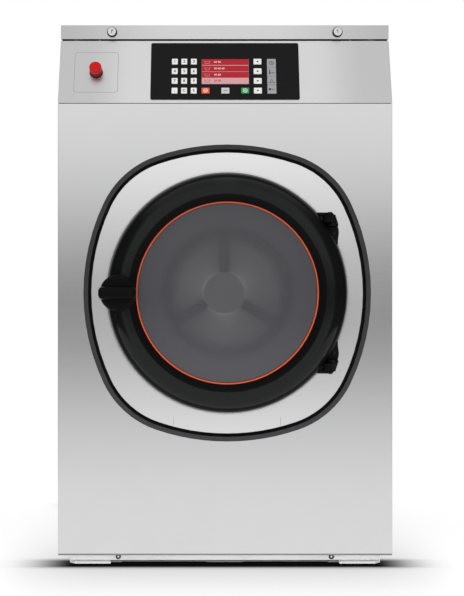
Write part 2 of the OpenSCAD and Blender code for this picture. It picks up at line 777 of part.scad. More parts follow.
// Sheet box of the motor's inverter, with cooling slots inwards and fins behind
module inverter_box() color([0.55, 0.56, 0.58]) {
    high = inverter_z + inverter_h;
    difference() {
        block([inverter_x, inverter_y, inverter_z], [inverter_out_x, inverter_y + inverter_d, high]);
        block([inverter_x, inverter_y, inverter_z] + inverter_wall*[1, 1, 1],
            [inverter_out_x, inverter_y + inverter_d, high] - inverter_wall*[1, 1, 1]);
        for (i = [0:5]) translate([inverter_x - over, inverter_y + 30 + i*35, inverter_z + fin_pitch])
            cube([inverter_wall + 2*over, fin_pitch, inverter_h - 50]);
    }
    for (i = [1.5:9.5])
        translate([inverter_x + i*fin_pitch, inverter_y + inverter_d - over, inverter_z + fin_pitch/2])
            cube([fin_t, fin_h, inverter_h - 1.5*fin_pitch]);
}

module tub_shell() color("lightsteelblue") difference() {
    union() {
        on_axis() {
            difference() {
                rod(tub_r, tub_end_z, disc_z);
                rod(tub_r - tub_wall, tub_end_z + tub_back_t, disc_z + over);
                rod(bearing_r, tub_end_z - over, disc_z);
            }
            tube(tub_r + tub_flange, tub_r - over, disc_z - plate_t - over, disc_z);
        }
        translate([axis_x, drain_y, sump_z]) cylinder(r = sump_r, h = sump_h);
        translate([duct_x, duct_y, duct_in_z - duct_sink/2])
            cylinder(r = duct_r + gap + tub_wall, h = duct_collar);
    }
    translate([axis_x, drain_y, sump_z - over]) cylinder(r = sump_r - tub_wall, h = 2*sump_h);
    translate([duct_x, duct_y, duct_in_z - duct_collar]) cylinder(r = duct_r + gap, h = 3*duct_collar);
}

// Tub front: flat plate with a shallow door seat, a box behind it, a disc and the loading neck
module tub_front() color("gainsboro") on_axis() {
    inset = trim_w + lip_w + gap;
    difference() {
        union() {
            translate([0, 0, -plate_t]) linear_extrude(plate_t) opening_shape(inset);
            opening_band(inset + over, inset + over + plate_t, disc_z + over, -over);
            rod(tub_r + tub_flange, disc_z, disc_z + plate_t);
            translate([0, 0, disc_z]) linear_extrude(plate_t) opening_shape(inset + over);
            rod(neck_r + neck_wall, disc_z - neck_end, 0);
        }
        rod(neck_r, disc_z - neck_end - over, over);
        rod(seat_r, -seat_d, over);
        translate([-knob_dx - slot_l/2, -slot_h/2, -plate_t - over])
            cube([slot_l, slot_h, plate_t + 2*over]);
    }
}

module tub_cradle() color("dimgray") for (y = cradle_y, s = [-1, 1]) difference() {
    block([s > 0 ? cradle_in_x : -base_w/2, y, rail_top],
        [s > 0 ? base_w/2 : -cradle_in_x, y + cradle_t, axis_z - cradle_drop]);
    translate([axis_x, y - over, axis_z]) rotate([-90, 0, 0])
        cylinder(r = tub_r + cradle_gap, h = cradle_t + 2*over);
}

// Cast housing bolted to the tub's back, with six webs
module bearing_housing() color("slategray") on_axis() difference() {
    union() {
        rod(flange_r, tub_end_z - flange_t, tub_end_z);
        rod(housing_r, housing_z, tub_end_z - flange_t + over);
        ring_of(6, 0) translate([housing_r - web_sink, -web_t/2, housing_z + web_end])
            cube([flange_r - housing_r - web_sink, web_t, housing_l - web_end - flange_t/2]);
    }
    rod(bearing_r + seat_gap, housing_z - over, tub_end_z + over);
    ring_of(6, flange_r - 2*flange_bolt_r, 30)
        rod(flange_bolt_r, tub_end_z - flange_t - over, tub_end_z + over);
}

// Two ball bearings, each with its outer ring, its balls' track and its inner ring
module shaft_bearings() color("silver") on_axis() for (z = [tub_end_z - 32, housing_z + 5]) {
    tube(bearing_r, bearing_r - race_t, z, z + bearing_w);
    tube(bearing_r - race_t + race_gap, shaft_r + race_t - race_gap, z + 3, z + bearing_w - 3);
    tube(shaft_r + race_t, shaft_r + run, z, z + bearing_w);
}

// Rubber seal in the neck, with a lip against the glass bowl
module door_gasket() color([0.16, 0.16, 0.17]) on_axis() rotate_extrude() polygon([
    [neck_r - 0.1, -seal_d], [neck_r - 0.1, 0], [neck_r - seal_d + 2, 2*gap], [bowl_r + 3, seal_rise],
    [bowl_r + gap, seal_rise], [bowl_r + gap, seal_rise/4], [bowl_r + 7, -seal_d/3], [bowl_r + 9, -seal_d]]);

module hinge_brackets() color([0.1, 0.1, 0.1]) on_axis() for (s = [-1, 1]) scale([1, s, 1]) {
    top = hinge_dz + knuckle_h/2 + ear_gap + ear_h;
    low = hinge_dz - knuckle_h/2 - ear_gap - ear_h;
    linear_extrude(bracket_t) polygon([[bracket_x, low - bracket_tail],
        [hinge_dx + knuckle_r, low - bracket_tail], [hinge_dx + knuckle_r, top - bracket_cut[1]],
        [hinge_dx + knuckle_r - bracket_cut[0], top], [bracket_x, top]]);
    for (y = [low, hinge_dz + knuckle_h/2 + ear_gap]) {
        block([bracket_x, y, over], [hinge_dx + knuckle_r, y + ear_h, hinge_out]);
        translate([hinge_dx, y, hinge_out]) rotate([-90, 0, 0]) cylinder(r = knuckle_r, h = ear_h);
    }
    translate([hinge_dx, low, hinge_out]) rotate([-90, 0, 0]) cylinder(r = hinge_pin_r, h = top - low);
}

// Lock behind the tub front, hollow where the latch turns
module door_lock() color("dimgray") on_axis() translate([-knob_dx, 0, 0]) difference() {
    block([-28, -40, -plate_t - lock_d], [28, 40, -plate_t]);
    rod(lock_cavity_r, cam_z - 5, 0);
    block([-lock_cavity_r, 10, -plate_t - lock_d + 4], [lock_cavity_r, 34, cam_z - 8]);
}

module drive_motor() color([0.3, 0.35, 0.45]) {
    translate([motor_x, plate_y, motor_z]) rotate([90, 0, 0]) difference() {
        union() {
            rod(motor_r - 6, motor_back_z, motor_back_z + motor_len);
            rod(motor_r, motor_back_z + 12, motor_back_z + motor_len - 12);
            rod(30, motor_back_z - motor_boss, motor_back_z + 5);
        }
        rod(motor_shaft_r + run, motor_back_z - motor_boss - over, motor_back_z + motor_len - 20);
    }
    back_y = plate_y - motor_back_z;
    for (s = [-1, 1]) block([motor_x + s*45 - 15, back_y - motor_len + 20, rail_top],
        [motor_x + s*45 + 15, back_y - 20, motor_z - 55]);
    block([motor_x - 15, back_y - motor_len + 60, motor_z + motor_r - 10],
        [motor_x + 55, back_y - motor_len + 130, motor_z + motor_r + 18]);
}

module motor_pulley() color("darkgray") translate([motor_x, plate_y, motor_z]) rotate([90, 0, 0]) {
    rod(motor_shaft_r, shaft_end_z + 6, motor_back_z + motor_len - 22);
    rod(small_pulley_r, belt_z - pulley_half, belt_z + pulley_half);
}

// Flat belt round both pulleys
module belt_outline(extra) hull() {
    translate([axis_x, axis_z]) circle(r = (big_pulley_r + extra)/cos(180/120), $fn = 120);
    translate([motor_x, motor_z]) circle(r = (small_pulley_r + extra)/cos(180/48), $fn = 48);
}
module drive_belt() color([0.15, 0.15, 0.15]) translate([0, plate_y - belt_z, 0]) rotate([90, 0, 0])
    translate([0, 0, -belt_w/2]) linear_extrude(belt_w) difference() {
        belt_outline(belt_clear + belt_t);
        belt_outline(belt_clear);
    }

// Valve under the tub's sump: upright body, cup round the sump, pipe to the rear and actuator
module drain_valve() color([0.35, 0.36, 0.38]) difference() {
    union() {
        translate([axis_x, drain_y, drain_z - valve_foot])
            cylinder(r = valve_r, h = sump_z - valve_neck - drain_z + valve_foot);
        translate([axis_x, drain_y, sump_z - 2*valve_neck])
            cylinder(r = sump_r + gap + drain_wall + 2, h = 3*valve_neck - over);
        translate([axis_x, drain_y, drain_z]) rotate([-90, 0, 0])
            cylinder(r = drain_r - 1.5, h = rear_y - drain_y);
        translate([axis_x, rear_y + gap, drain_z]) rotate([-90, 0, 0])
            cylinder(r = drain_r, h = drain_out - gap);
        block([axis_x - valve_r - 42, drain_y - 25, drain_z + 5],
            [axis_x - valve_r + 8, drain_y + 25, drain_z + 65]);
    }
    translate([axis_x, drain_y, drain_z]) cylinder(r = sump_r - tub_wall, h = sump_z - drain_z + over);
    translate([axis_x, drain_y, drain_z]) rotate([-90, 0, 0])
        cylinder(r = drain_r - drain_wall, h = rear_y + drain_out - drain_y + over);
    translate([axis_x, drain_y, sump_z - gap]) cylinder(r = sump_r + gap, h = 2*sump_h);
}

// Plinth bolts in front and panel screws behind
module panel_bolts() color("gray") {
    for (s = [-1, 1]) translate([s*bolt_x, base_front_y, bolt_z]) rotate([90, 0, 0]) {
        rod(plinth_bolt_r + 2.5, 0, 4);
        rod(plinth_bolt_r, -plinth_bolt_l, over);
    }
    for (x = [-1, 1], z = [skirt_z + 60, (skirt_z + shoulder_z)/2, shoulder_z - 60])
        translate([x*(side_x - 10), rear_y, z]) rotate([-90, 0, 0]) rod(5, 0, 3);
}

module drum_shell() color("silver") on_axis() {
    difference() {
        rod(drum_r, drum_back_z, drum_front_z);
        rod(drum_r - drum_wall, drum_back_z + drum_wall, drum_front_z - drum_wall);
        rod(mouth_r + drum_wall, drum_front_z - 3, drum_front_z + over);
    }
    tube(mouth_r + drum_wall, mouth_r, drum_front_z - 3, drum_front_z + mouth_lip);
    tube(mouth_r + 4, mouth_r + over, drum_front_z - drum_wall, drum_front_z);
    rod(drum_hub_r, drum_back_z + over, drum_back_z + 14);
    for (i = [0:2]) rotate(90 + i*120) translate([0, -spoke_w/2, drum_back_z + over])
        cube([drum_r - 25, spoke_w, 9]);
}

// Hollow sheet ribs on the drum's wall, open towards it
module drum_lifters() color("gray") on_axis() intersection() {
    union() for (i = [0:lifters - 1]) rotate(30 + i*360/lifters) difference() {
        translate([0, 0, drum_back_z + lifter_end]) linear_extrude(drum_len - 2*lifter_end)
            lifter_section(0);
        translate([0, 0, drum_back_z + lifter_end + lifter_wall])
            linear_extrude(drum_len - 2*(lifter_end + lifter_wall)) lifter_section(lifter_wall);
    }
    rod(drum_r - drum_wall - seat_gap, drum_back_z, drum_front_z);
}

// Section of a lifting rib, or the same drawn in by t
module lifter_section(t) {
    top = drum_r - lifter_h + t;
    half = [[drum_r, lifter_w/2 - t], [drum_r - 14, lifter_w/2 - t], [top + 8, lifter_top_w/2 + 7 - t],
        [top, lifter_top_w/2 - t]];
    polygon(concat(half, turned(reversed(half), 1, -1)));
}

module drum_spider() color("slategray") on_axis() {
    rod(60, spider_z - 6, drum_back_z - gap);
    for (i = [0:2]) rotate(30 + i*120) {
        translate([0, -23, spider_z]) cube([drum_r - 30, 46, spider_t]);
        translate([drum_r - 32, 0, spider_z]) cylinder(r = 28, h = spider_t + gap);
    }
    rod(shaft_r, shaft_end_z, spider_z);
}

module drum_pulley() color("darkgray") on_axis() difference() {
    union() {
        tube(big_pulley_r, big_pulley_r - 12, belt_z - pulley_half, belt_z + pulley_half);
        rod(big_pulley_r - 11, belt_z - 3, belt_z + 3);
        rod(shaft_r + 22, belt_z - pulley_half - 3, belt_z + pulley_half + 3);
    }
    rod(shaft_r + 0.02, shaft_end_z - over, 0);
    ring_of(5, (big_pulley_r + shaft_r + 10)/2) rod(big_pulley_r/5, belt_z - 4, belt_z + 4);
}

// Casting behind the door ring: disc, collar under the glass, hinge arms and latch boss
module door_frame() color([0.12, 0.12, 0.12]) on_axis() {
    difference() {
        union() {
            rod(frame_r, frame_z, frame_z + frame_t);
            rod(ring_in_r + 4, frame_z, glass_z - gap);
            translate([-knob_dx, 0, 0]) rod(16, frame_z, rim_z);
        }
        rod(collar_in_r, frame_z - over, glass_z + over);
        translate([-knob_dx, 0, 0]) rod(knob_spindle_r + run, frame_z - over, rim_z + over);
    }
    for (s = [-1, 1]) scale([1, s, 1]) hinge_arm();
}

module hinge_arm() difference() {
    union() {
        translate([0, hinge_dz - knuckle_h/2, 0]) {
            block([hinge_dx - arm_l, 0, arm_z], [hinge_dx - arm_in, knuckle_h, arm_z + arm_t]);
            block([hinge_dx - arm_out, 0, arm_z], [hinge_dx - arm_in, knuckle_h, hinge_out + 9]);
            block([hinge_dx - arm_out, 0, hinge_out - 7], [hinge_dx, knuckle_h, hinge_out + 9]);
        }
        translate([hinge_dx, hinge_dz - knuckle_h/2, hinge_out]) rotate([-90, 0, 0])
            cylinder(r = knuckle_r, h = knuckle_h);
    }
    translate([hinge_dx, hinge_dz - knuckle_h/2 - over, hinge_out]) rotate([-90, 0, 0])
        cylinder(r = hinge_pin_r + run, h = knuckle_h + 2*over);
}

// Section of the door ring: rim, crest arc, crease and inner slope, and the same drawn in
function ring_side(inset) =
    let (a = ring_r - inset, c = crest_r - inset*0.2, top = ring_crest - inset)
    concat([[a, rim_z]], [for (i = [0:10]) let (t = i*9)
        [c + (a - c)*cos(t), rim_top_z + (top - rim_top_z)*sin(t)]]);
function ring_section() = concat(ring_side(0),
    [[crease_r, crease_z], [ring_in_r, lip_z], [ring_in_r, glass_z], [ring_in_r + ring_wall, glass_z],
     [ring_in_r + ring_wall, lip_z - 2], [crease_r + 2, crease_z - ring_wall - 1]],
    reversed(ring_side(ring_wall)));

module door_ring() color([0.11, 0.11, 0.11]) on_axis() difference() {
    union() {
        rotate_extrude() polygon(ring_section());
        translate([-knob_dx, 0, 0]) difference() {
            rod(pad_r, rim_z + gap, pad_z);
            translate([knob_dx, 0, 0]) rod(ring_in_r + ring_wall/2, rim_z, pad_z + over);
            translate([knob_dx, 0, 0]) rod(ring_in_r + ring_wall + gap, rim_z, glass_z);
        }
        for (a = [60, 120, 240, 300, 0]) rotate(a) translate([frame_r - 14, 0, 0])
            rod(6, frame_z + frame_t + gap, ring_crest - ring_wall);
    }
    translate([-knob_dx, 0, 0]) rod(knob_spindle_r + 0.3, rim_z - over, pad_z + over);
}

// Double glazing: flat outer pane and the bowl that reaches into the drum's mouth
module door_glass() color([0.35, 0.35, 0.38], 0.6) on_axis() {
    bowl_out = bowl_r + bowl_slope*(glass_z - bowl_seat_z);
    bowl_end_r = bowl_r + bowl_slope*(bowl_end_z - bowl_seat_z);
    rotate_extrude() polygon([[0, bowl_end_z], [bowl_end_r - 10, bowl_end_z],
        [bowl_end_r - 3, bowl_end_z + 3], [bowl_end_r + 1, bowl_end_z + 10],
        [bowl_out, glass_z], [glass_flange_r, glass_z], [glass_flange_r, flange_z],
        [bowl_out - glass_t, flange_z], [bowl_end_r - glass_t + 2, bowl_end_z + glass_t + 8],
        [bowl_end_r - glass_t - 8, bowl_end_z + glass_t], [0, bowl_end_z + glass_t]]);
    rotate_extrude() polygon(concat(
        [[0, flange_z + gap], [pane_r, flange_z + gap], [pane_r, flange_z + 4]],
        [for (i = [1:8]) [pane_r*(1 - i/8), flange_z + 4 + 4*(1 - pow(1 - i/8, 2))]]));
}

module accent_ring() color("darkorange") on_axis() rotate_extrude() polygon([
    [accent_in_r, flange_z + gap], [accent_in_r, flange_z + 6], [accent_in_r + 1, flange_z + 7.5],
    [accent_out_r - 1, flange_z + 7.5], [accent_out_r, flange_z + 6.5], [accent_out_r, flange_z + gap]]);

module door_knob() color([0.1, 0.1, 0.1]) on_axis() translate([-knob_dx, 0, 0]) {
    rod(knob_r, pad_z + gap, pad_z + 8);
    translate([0, 0, pad_z + 7]) hull() for (s = [-1, 1], z = [0, 14])
        translate([s*(grip_l/2 - 10), 0, 0]) scale([1, (grip_h - z/2)/20, 1])
            translate([0, 0, z]) cylinder(r = 10, h = 4, $fn = 32);
    rod(knob_spindle_r, -0.5, pad_z + 2);
    rod(cam_neck_r, cam_z, 0);
    translate([-cam_l/2, -cam_h/2, cam_z]) cube([cam_l, cam_h, cam_t]);
}

base_frame();
left_side_panel();
right_side_panel();
rear_panel();
front_panel();
opening_trim();
control_fascia();
keypad_overlay();
display_screen();
control_board();
estop_body();
estop_button();
top_lid();
lid_lock_left();
lid_lock_right();
soap_box();
soap_flap();
inlet_valves();
inverter_box();
tub_shell();
tub_front();
tub_cradle();
bearing_housing();
shaft_bearings();
door_gasket();
hinge_brackets();
door_lock();
drive_motor();
motor_pulley();
drive_belt();
drain_valve();
panel_bolts();
drum_shell();
drum_lifters();
drum_spider();
drum_pulley();
door_frame();
door_ring();
door_glass();
accent_ring();
door_knob();
for (k = KEYS) key(k);
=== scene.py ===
import json
import math

import bmesh
import bpy
from mathutils import Matrix, Vector

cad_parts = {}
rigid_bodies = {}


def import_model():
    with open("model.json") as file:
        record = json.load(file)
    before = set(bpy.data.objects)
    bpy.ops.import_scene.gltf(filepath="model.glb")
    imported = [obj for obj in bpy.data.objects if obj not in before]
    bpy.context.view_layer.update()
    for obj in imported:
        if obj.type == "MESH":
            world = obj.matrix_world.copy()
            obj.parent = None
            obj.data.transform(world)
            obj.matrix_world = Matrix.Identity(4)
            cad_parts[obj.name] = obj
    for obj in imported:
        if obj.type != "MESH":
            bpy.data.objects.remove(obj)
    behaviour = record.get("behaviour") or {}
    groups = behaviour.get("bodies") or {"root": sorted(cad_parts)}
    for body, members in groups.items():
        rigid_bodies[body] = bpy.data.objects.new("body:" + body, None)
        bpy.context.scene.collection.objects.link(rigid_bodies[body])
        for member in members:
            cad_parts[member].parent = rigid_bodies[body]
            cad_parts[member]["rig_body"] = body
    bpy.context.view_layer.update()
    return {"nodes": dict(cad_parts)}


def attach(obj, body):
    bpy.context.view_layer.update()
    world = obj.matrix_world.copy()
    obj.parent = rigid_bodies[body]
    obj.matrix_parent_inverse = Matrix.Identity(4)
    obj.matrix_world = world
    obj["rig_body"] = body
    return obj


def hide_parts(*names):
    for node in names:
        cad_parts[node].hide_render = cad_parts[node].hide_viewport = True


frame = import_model()
nodes = frame["nodes"]
mm = 0.001
turn = math.radians
unmoved = Matrix.Identity(4)
print("frame loaded with", len(nodes), "nodes")

# Places shared by several pieces, in millimetres, as the part has them
cabinet = {"frontY": -372.5, "rearY": 372.5, "sideX": 355, "plateY": -360.5,
           "axisX": 4.5, "axisZ": 580, "fasciaZ": 983.2, "tilt": 20, "lidFrontY": -320.453}


def pick(sizes, *names):
    return [sizes[name] for name in names]


def shift(x=0, y=0, z=0):
    return Matrix.Translation(Vector((x, y, z)) * mm)


def spun(angle, axis="Z"):
    return Matrix.Rotation(turn(angle), 4, axis)


# z counts ahead of the tub front
onAxis = shift(*pick(cabinet, "axisX", "plateY", "axisZ")) @ spun(90, "X")


def onFascia(x, s):
    # x across, y up the slope, z outwards
    foot = shift(0, cabinet["frontY"], cabinet["fasciaZ"]) @ spun(-cabinet["tilt"], "X")
    return foot @ shift(x, 0, s) @ spun(90, "X")


def facing(way, x, y, z):
    # local z points to the front or to the rear
    return shift(x, y, z) @ spun(0 if way == "front" else 180) @ spun(90, "X")


# Shader helpers

class Signal:
    # a value in a shader's tree; a sum of such values makes its math nodes
    def __init__(self, socket):
        self.socket, self.tree = socket, socket.id_data

    def step(self, operation, other=None, first=None):
        values = {0: self if first is None else first, 1: other}
        return take(addNode(self.tree, "ShaderNodeMath", values, operation=operation))

    def __add__(self, other):
        return self.step("ADD", other)

    def __sub__(self, other):
        return self.step("SUBTRACT", other)

    def __rsub__(self, other):
        return self.step("SUBTRACT", self, other)

    def __mul__(self, other):
        return self.step("MULTIPLY", other)

    def __truediv__(self, other):
        return self.step("DIVIDE", other)

    def __pow__(self, other):
        return self.step("POWER", other)


def take(node, output=0):
    return Signal(node.outputs[output])


def fill(node, values):
    # an input gets its constant, or a link to the signal that drives it
    for key, value in values.items():
        if isinstance(value, Signal):
            value.tree.links.new(value.socket, node.inputs[key])
        elif value is not None:
            node.inputs[key].default_value = value


def addNode(tree, kind, values=None, **settings):
    made = tree.nodes.new(kind)
    for key, value in settings.items():
        setattr(made, key, value)
    fill(made, values or {})
    return made


def newGroup(name, inputs, *outputs):
    group = bpy.data.node_groups.new(name, "ShaderNodeTree")
    for label, value in inputs.items():
        kind = {3: "Vector", 4: "Color"}[len(value)] if isinstance(value, tuple) else "Float"
        socket = group.interface.new_socket(name=label, in_out="INPUT", socket_type="NodeSocket" + kind)
        socket.default_value = value
    for label in outputs:
        kind = "Color" if label == "Colour" else "Float"
        group.interface.new_socket(name=label, in_out="OUTPUT", socket_type="NodeSocket" + kind)
    source = group.nodes.new("NodeGroupInput")
    return group, {label: take(source, label) for label in inputs}, group.nodes.new("NodeGroupOutput")


def grouped(tree, group, values=None, **settings):
    # a group's node in an object's own coordinates
    point = take(addNode(tree, "ShaderNodeTexCoord"), "Object")
    return addNode(tree, "ShaderNodeGroup", {"Vector": point, **(values or {})}, node_tree=group, **settings)


def emptyTree(owner):
    owner.use_nodes = True
    owner.node_tree.nodes.clear()
    return owner.node_tree


def noise(vector, scale, detail, roughness):
    return take(addNode(vector.tree, "ShaderNodeTexNoise", {
        "Vector": vector, "Scale": scale, "Detail": detail, "Roughness": roughness}))


def vectorMath(operation, a, b=None):
    return addNode(a.tree, "ShaderNodeVectorMath", {0: a, 1: b}, operation=operation)


def split(vector):
    return [Signal(part) for part in addNode(vector.tree, "ShaderNodeSeparateXYZ", {0: vector}).outputs]


def mapped(value, start, end, low=0, high=1, kind="LINEAR"):
    return take(addNode(value.tree, "ShaderNodeMapRange", {
        "Value": value, "From Min": start, "From Max": end, "To Min": low, "To Max": high},
        interpolation_type=kind))


def smoothed(value, start, end):
    return mapped(value, start, end, kind="SMOOTHSTEP")


def decay(value):
    # one at nothing, and falling as the value grows
    return (value * -1).step("EXPONENT")


def mixColour(factor, a, b, blend="MIX"):
    tree = next(value.tree for value in (factor, a, b) if isinstance(value, Signal))
    made = addNode(tree, "ShaderNodeMix", {0: factor, 6: a, 7: b}, data_type="RGBA", blend_type=blend)
    return take(made, 2)


def grey(level):
    return take(addNode(level.tree, "ShaderNodeCombineColor", {0: level, 1: level, 2: level}))


def toned(colour, level):
    return mixColour(1, colour, grey(level), "MULTIPLY")


def acrossAxis(point):
    # where a point lies in the plane across the drum's axis
    axis = Vector((cabinet["axisX"], 0, cabinet["axisZ"])) * mm
    return take(vectorMath("MULTIPLY", take(vectorMath("SUBTRACT", point, axis)), (1, 0, 1)))


def rays(tree, *kinds):
    # one for light rays of one or two kinds, nothing for all others
    path = addNode(tree, "ShaderNodeLightPath")
    found = [take(path, "Is " + kind + " Ray") for kind in kinds]
    return found[0] if len(found) == 1 else (found[0] + found[1]).step("MINIMUM", 1)


# Shader groups

noPoint, white = (0, 0, 0), (1, 1, 1, 1)

# Even surface noise: mottled tone, uneven gloss and a fine skin
skinGroup, given, result = newGroup(
    "surfaceSkin",
    {"Vector": noPoint, "Colour": white, "Scale": 600, "Tone": 0.04, "Roughness": 0.4, "Spread": 0.1},
    "Colour", "Roughness", "Height")
fine = noise(given["Vector"], given["Scale"], 3, 0.55)
swing = noise(given["Vector"], 7, 4, 0.6) - 0.5
fill(result, {"Colour": toned(given["Colour"], swing * (given["Tone"] * 2) + 1),
              "Roughness": given["Roughness"] + (swing + (fine - 0.5) * 0.5) * given["Spread"],
              "Height": fine})

# Brushed grain: noise drawn out along one direction by the stretch
brushGroup, given, result = newGroup(
    "brushGrain",
    {"Vector": noPoint, "Stretch": (12, 900, 900), "Colour": white, "Tone": 0.04, "Roughness": 0.2,
     "Spread": 0.08},
    "Colour", "Roughness", "Height")
hair = noise(take(vectorMath("MULTIPLY", given["Vector"], given["Stretch"])), 1, 4, 0.6)
streak = hair - 0.5
patch = noise(given["Vector"], 3.5, 3, 0.5) - 0.5
fill(result, {"Colour": toned(given["Colour"], (streak * 2 + patch) * given["Tone"] + 1),
              "Roughness": given["Roughness"] + (streak + patch) * given["Spread"],
              "Height": hair})

# Dust and handling: a faint film, thicker low down and in patches
dustGroup, given, result = newGroup(
    "dustFilm",
    {"Vector": noPoint, "Colour": white, "Roughness": 0.4, "Dust": (0.5, 0.47, 0.43, 1), "Amount": 0.1},
    "Colour", "Roughness")
lowDown = mapped(split(given["Vector"])[2], 0.25, 0, 0.15, 1)
inPatches = mapped(noise(given["Vector"], 23, 6, 0.7), 0.45, 0.75)
film = lowDown * inPatches * given["Amount"]
fill(result, {"Colour": mixColour(film, given["Colour"], given["Dust"]),
              "Roughness": given["Roughness"] + film * 0.5})

# A mask that grows between two radii round the drum's axis
bandGroup, given, result = newGroup("axisBand", {"Vector": noPoint, "From": 0.1, "To": 0.15}, "Mask")
away = take(vectorMath("LENGTH", acrossAxis(given["Vector"])), "Value")
fill(result, {"Mask": smoothed(away, given["From"], given["To"])})

# Painted sheen: brighter fans between the drum's three spokes, strongest beside the hub
fanGroup, given, result = newGroup("paintedSheenFans", {"Vector": noPoint, "Hub": 0.05, "Fade": 0.07}, "Mask")
across = acrossAxis(given["Vector"])
away = take(vectorMath("LENGTH", across), "Value")
x, y, z = split(across)
lobes = ((z.step("ARCTAN2", x) - math.pi / 2) * 3).step("COSINE")
between = ((1 - lobes) * 0.5) ** 0.4
fill(result, {"Mask": decay((away - given["Hub"]).step("MAXIMUM", 0) / given["Fade"]) * between})

# Painted shade: long brushed sheets darkened towards both ends, in place of a reflection
endGroup, given, result = newGroup(
    "paintedEndShade", {"Vector": noPoint, "Colour": white, "From": 0.1, "To": 0.3, "Amount": 0.2}, "Colour")
atEnds = smoothed(split(given["Vector"])[0].step("ABSOLUTE"), given["From"], given["To"])
fill(result, {"Colour": toned(given["Colour"], 1 - atEnds * given["Amount"])})


def shade(r, g=None, b=None):
    # a colour as a screen shows it, 0 to 255
    made = []
    for c in (r, r if g is None else g, r if b is None else b):
        c /= 255
        made.append(c / 12.92 if c <= 0.04045 else ((c + 0.055) / 1.055) ** 2.4)
    return (*made, 1)


def finish(name, colour, roughness, spread, tone, grain, bump, depth, others=()):
    # the grain is a scale, or three of them for brushed metal
    usual = {"metallic": 0, "dust": 0.1, "specular": 0.5, "alpha": 1, "ior": 1.5, "glow": 0}
    metallic, dust, specular, alpha, ior, glow = {**usual, **dict(others)}.values()
    made = bpy.data.materials.new(name)
    tree = emptyTree(made)
    brushed = isinstance(grain, tuple)
    skin = grouped(tree, brushGroup if brushed else skinGroup, {
        "Colour": colour, "Tone": tone, "Roughness": roughness, "Spread": spread,
        "Stretch" if brushed else "Scale": grain}, name="skin")
    film = grouped(tree, dustGroup, {
        "Colour": take(skin, "Colour"), "Roughness": take(skin, "Roughness"), "Amount": dust}, name="film")
    relief = addNode(tree, "ShaderNodeBump", {
        "Strength": bump, "Distance": depth * mm, "Height": take(skin, "Height")})
    shader = addNode(tree, "ShaderNodeBsdfPrincipled", {
        "Base Color": take(film, "Colour"), "Roughness": take(film, "Roughness"), "Normal": take(relief),
        "Metallic": metallic, "Specular IOR Level": specular, "IOR": ior, "Alpha": alpha}, name="shader")
    if glow:
        fill(shader, {"Emission Color": take(film, "Colour"), "Emission Strength": glow})
    addNode(tree, "ShaderNodeOutputMaterial", {"Surface": take(shader)})
    return made


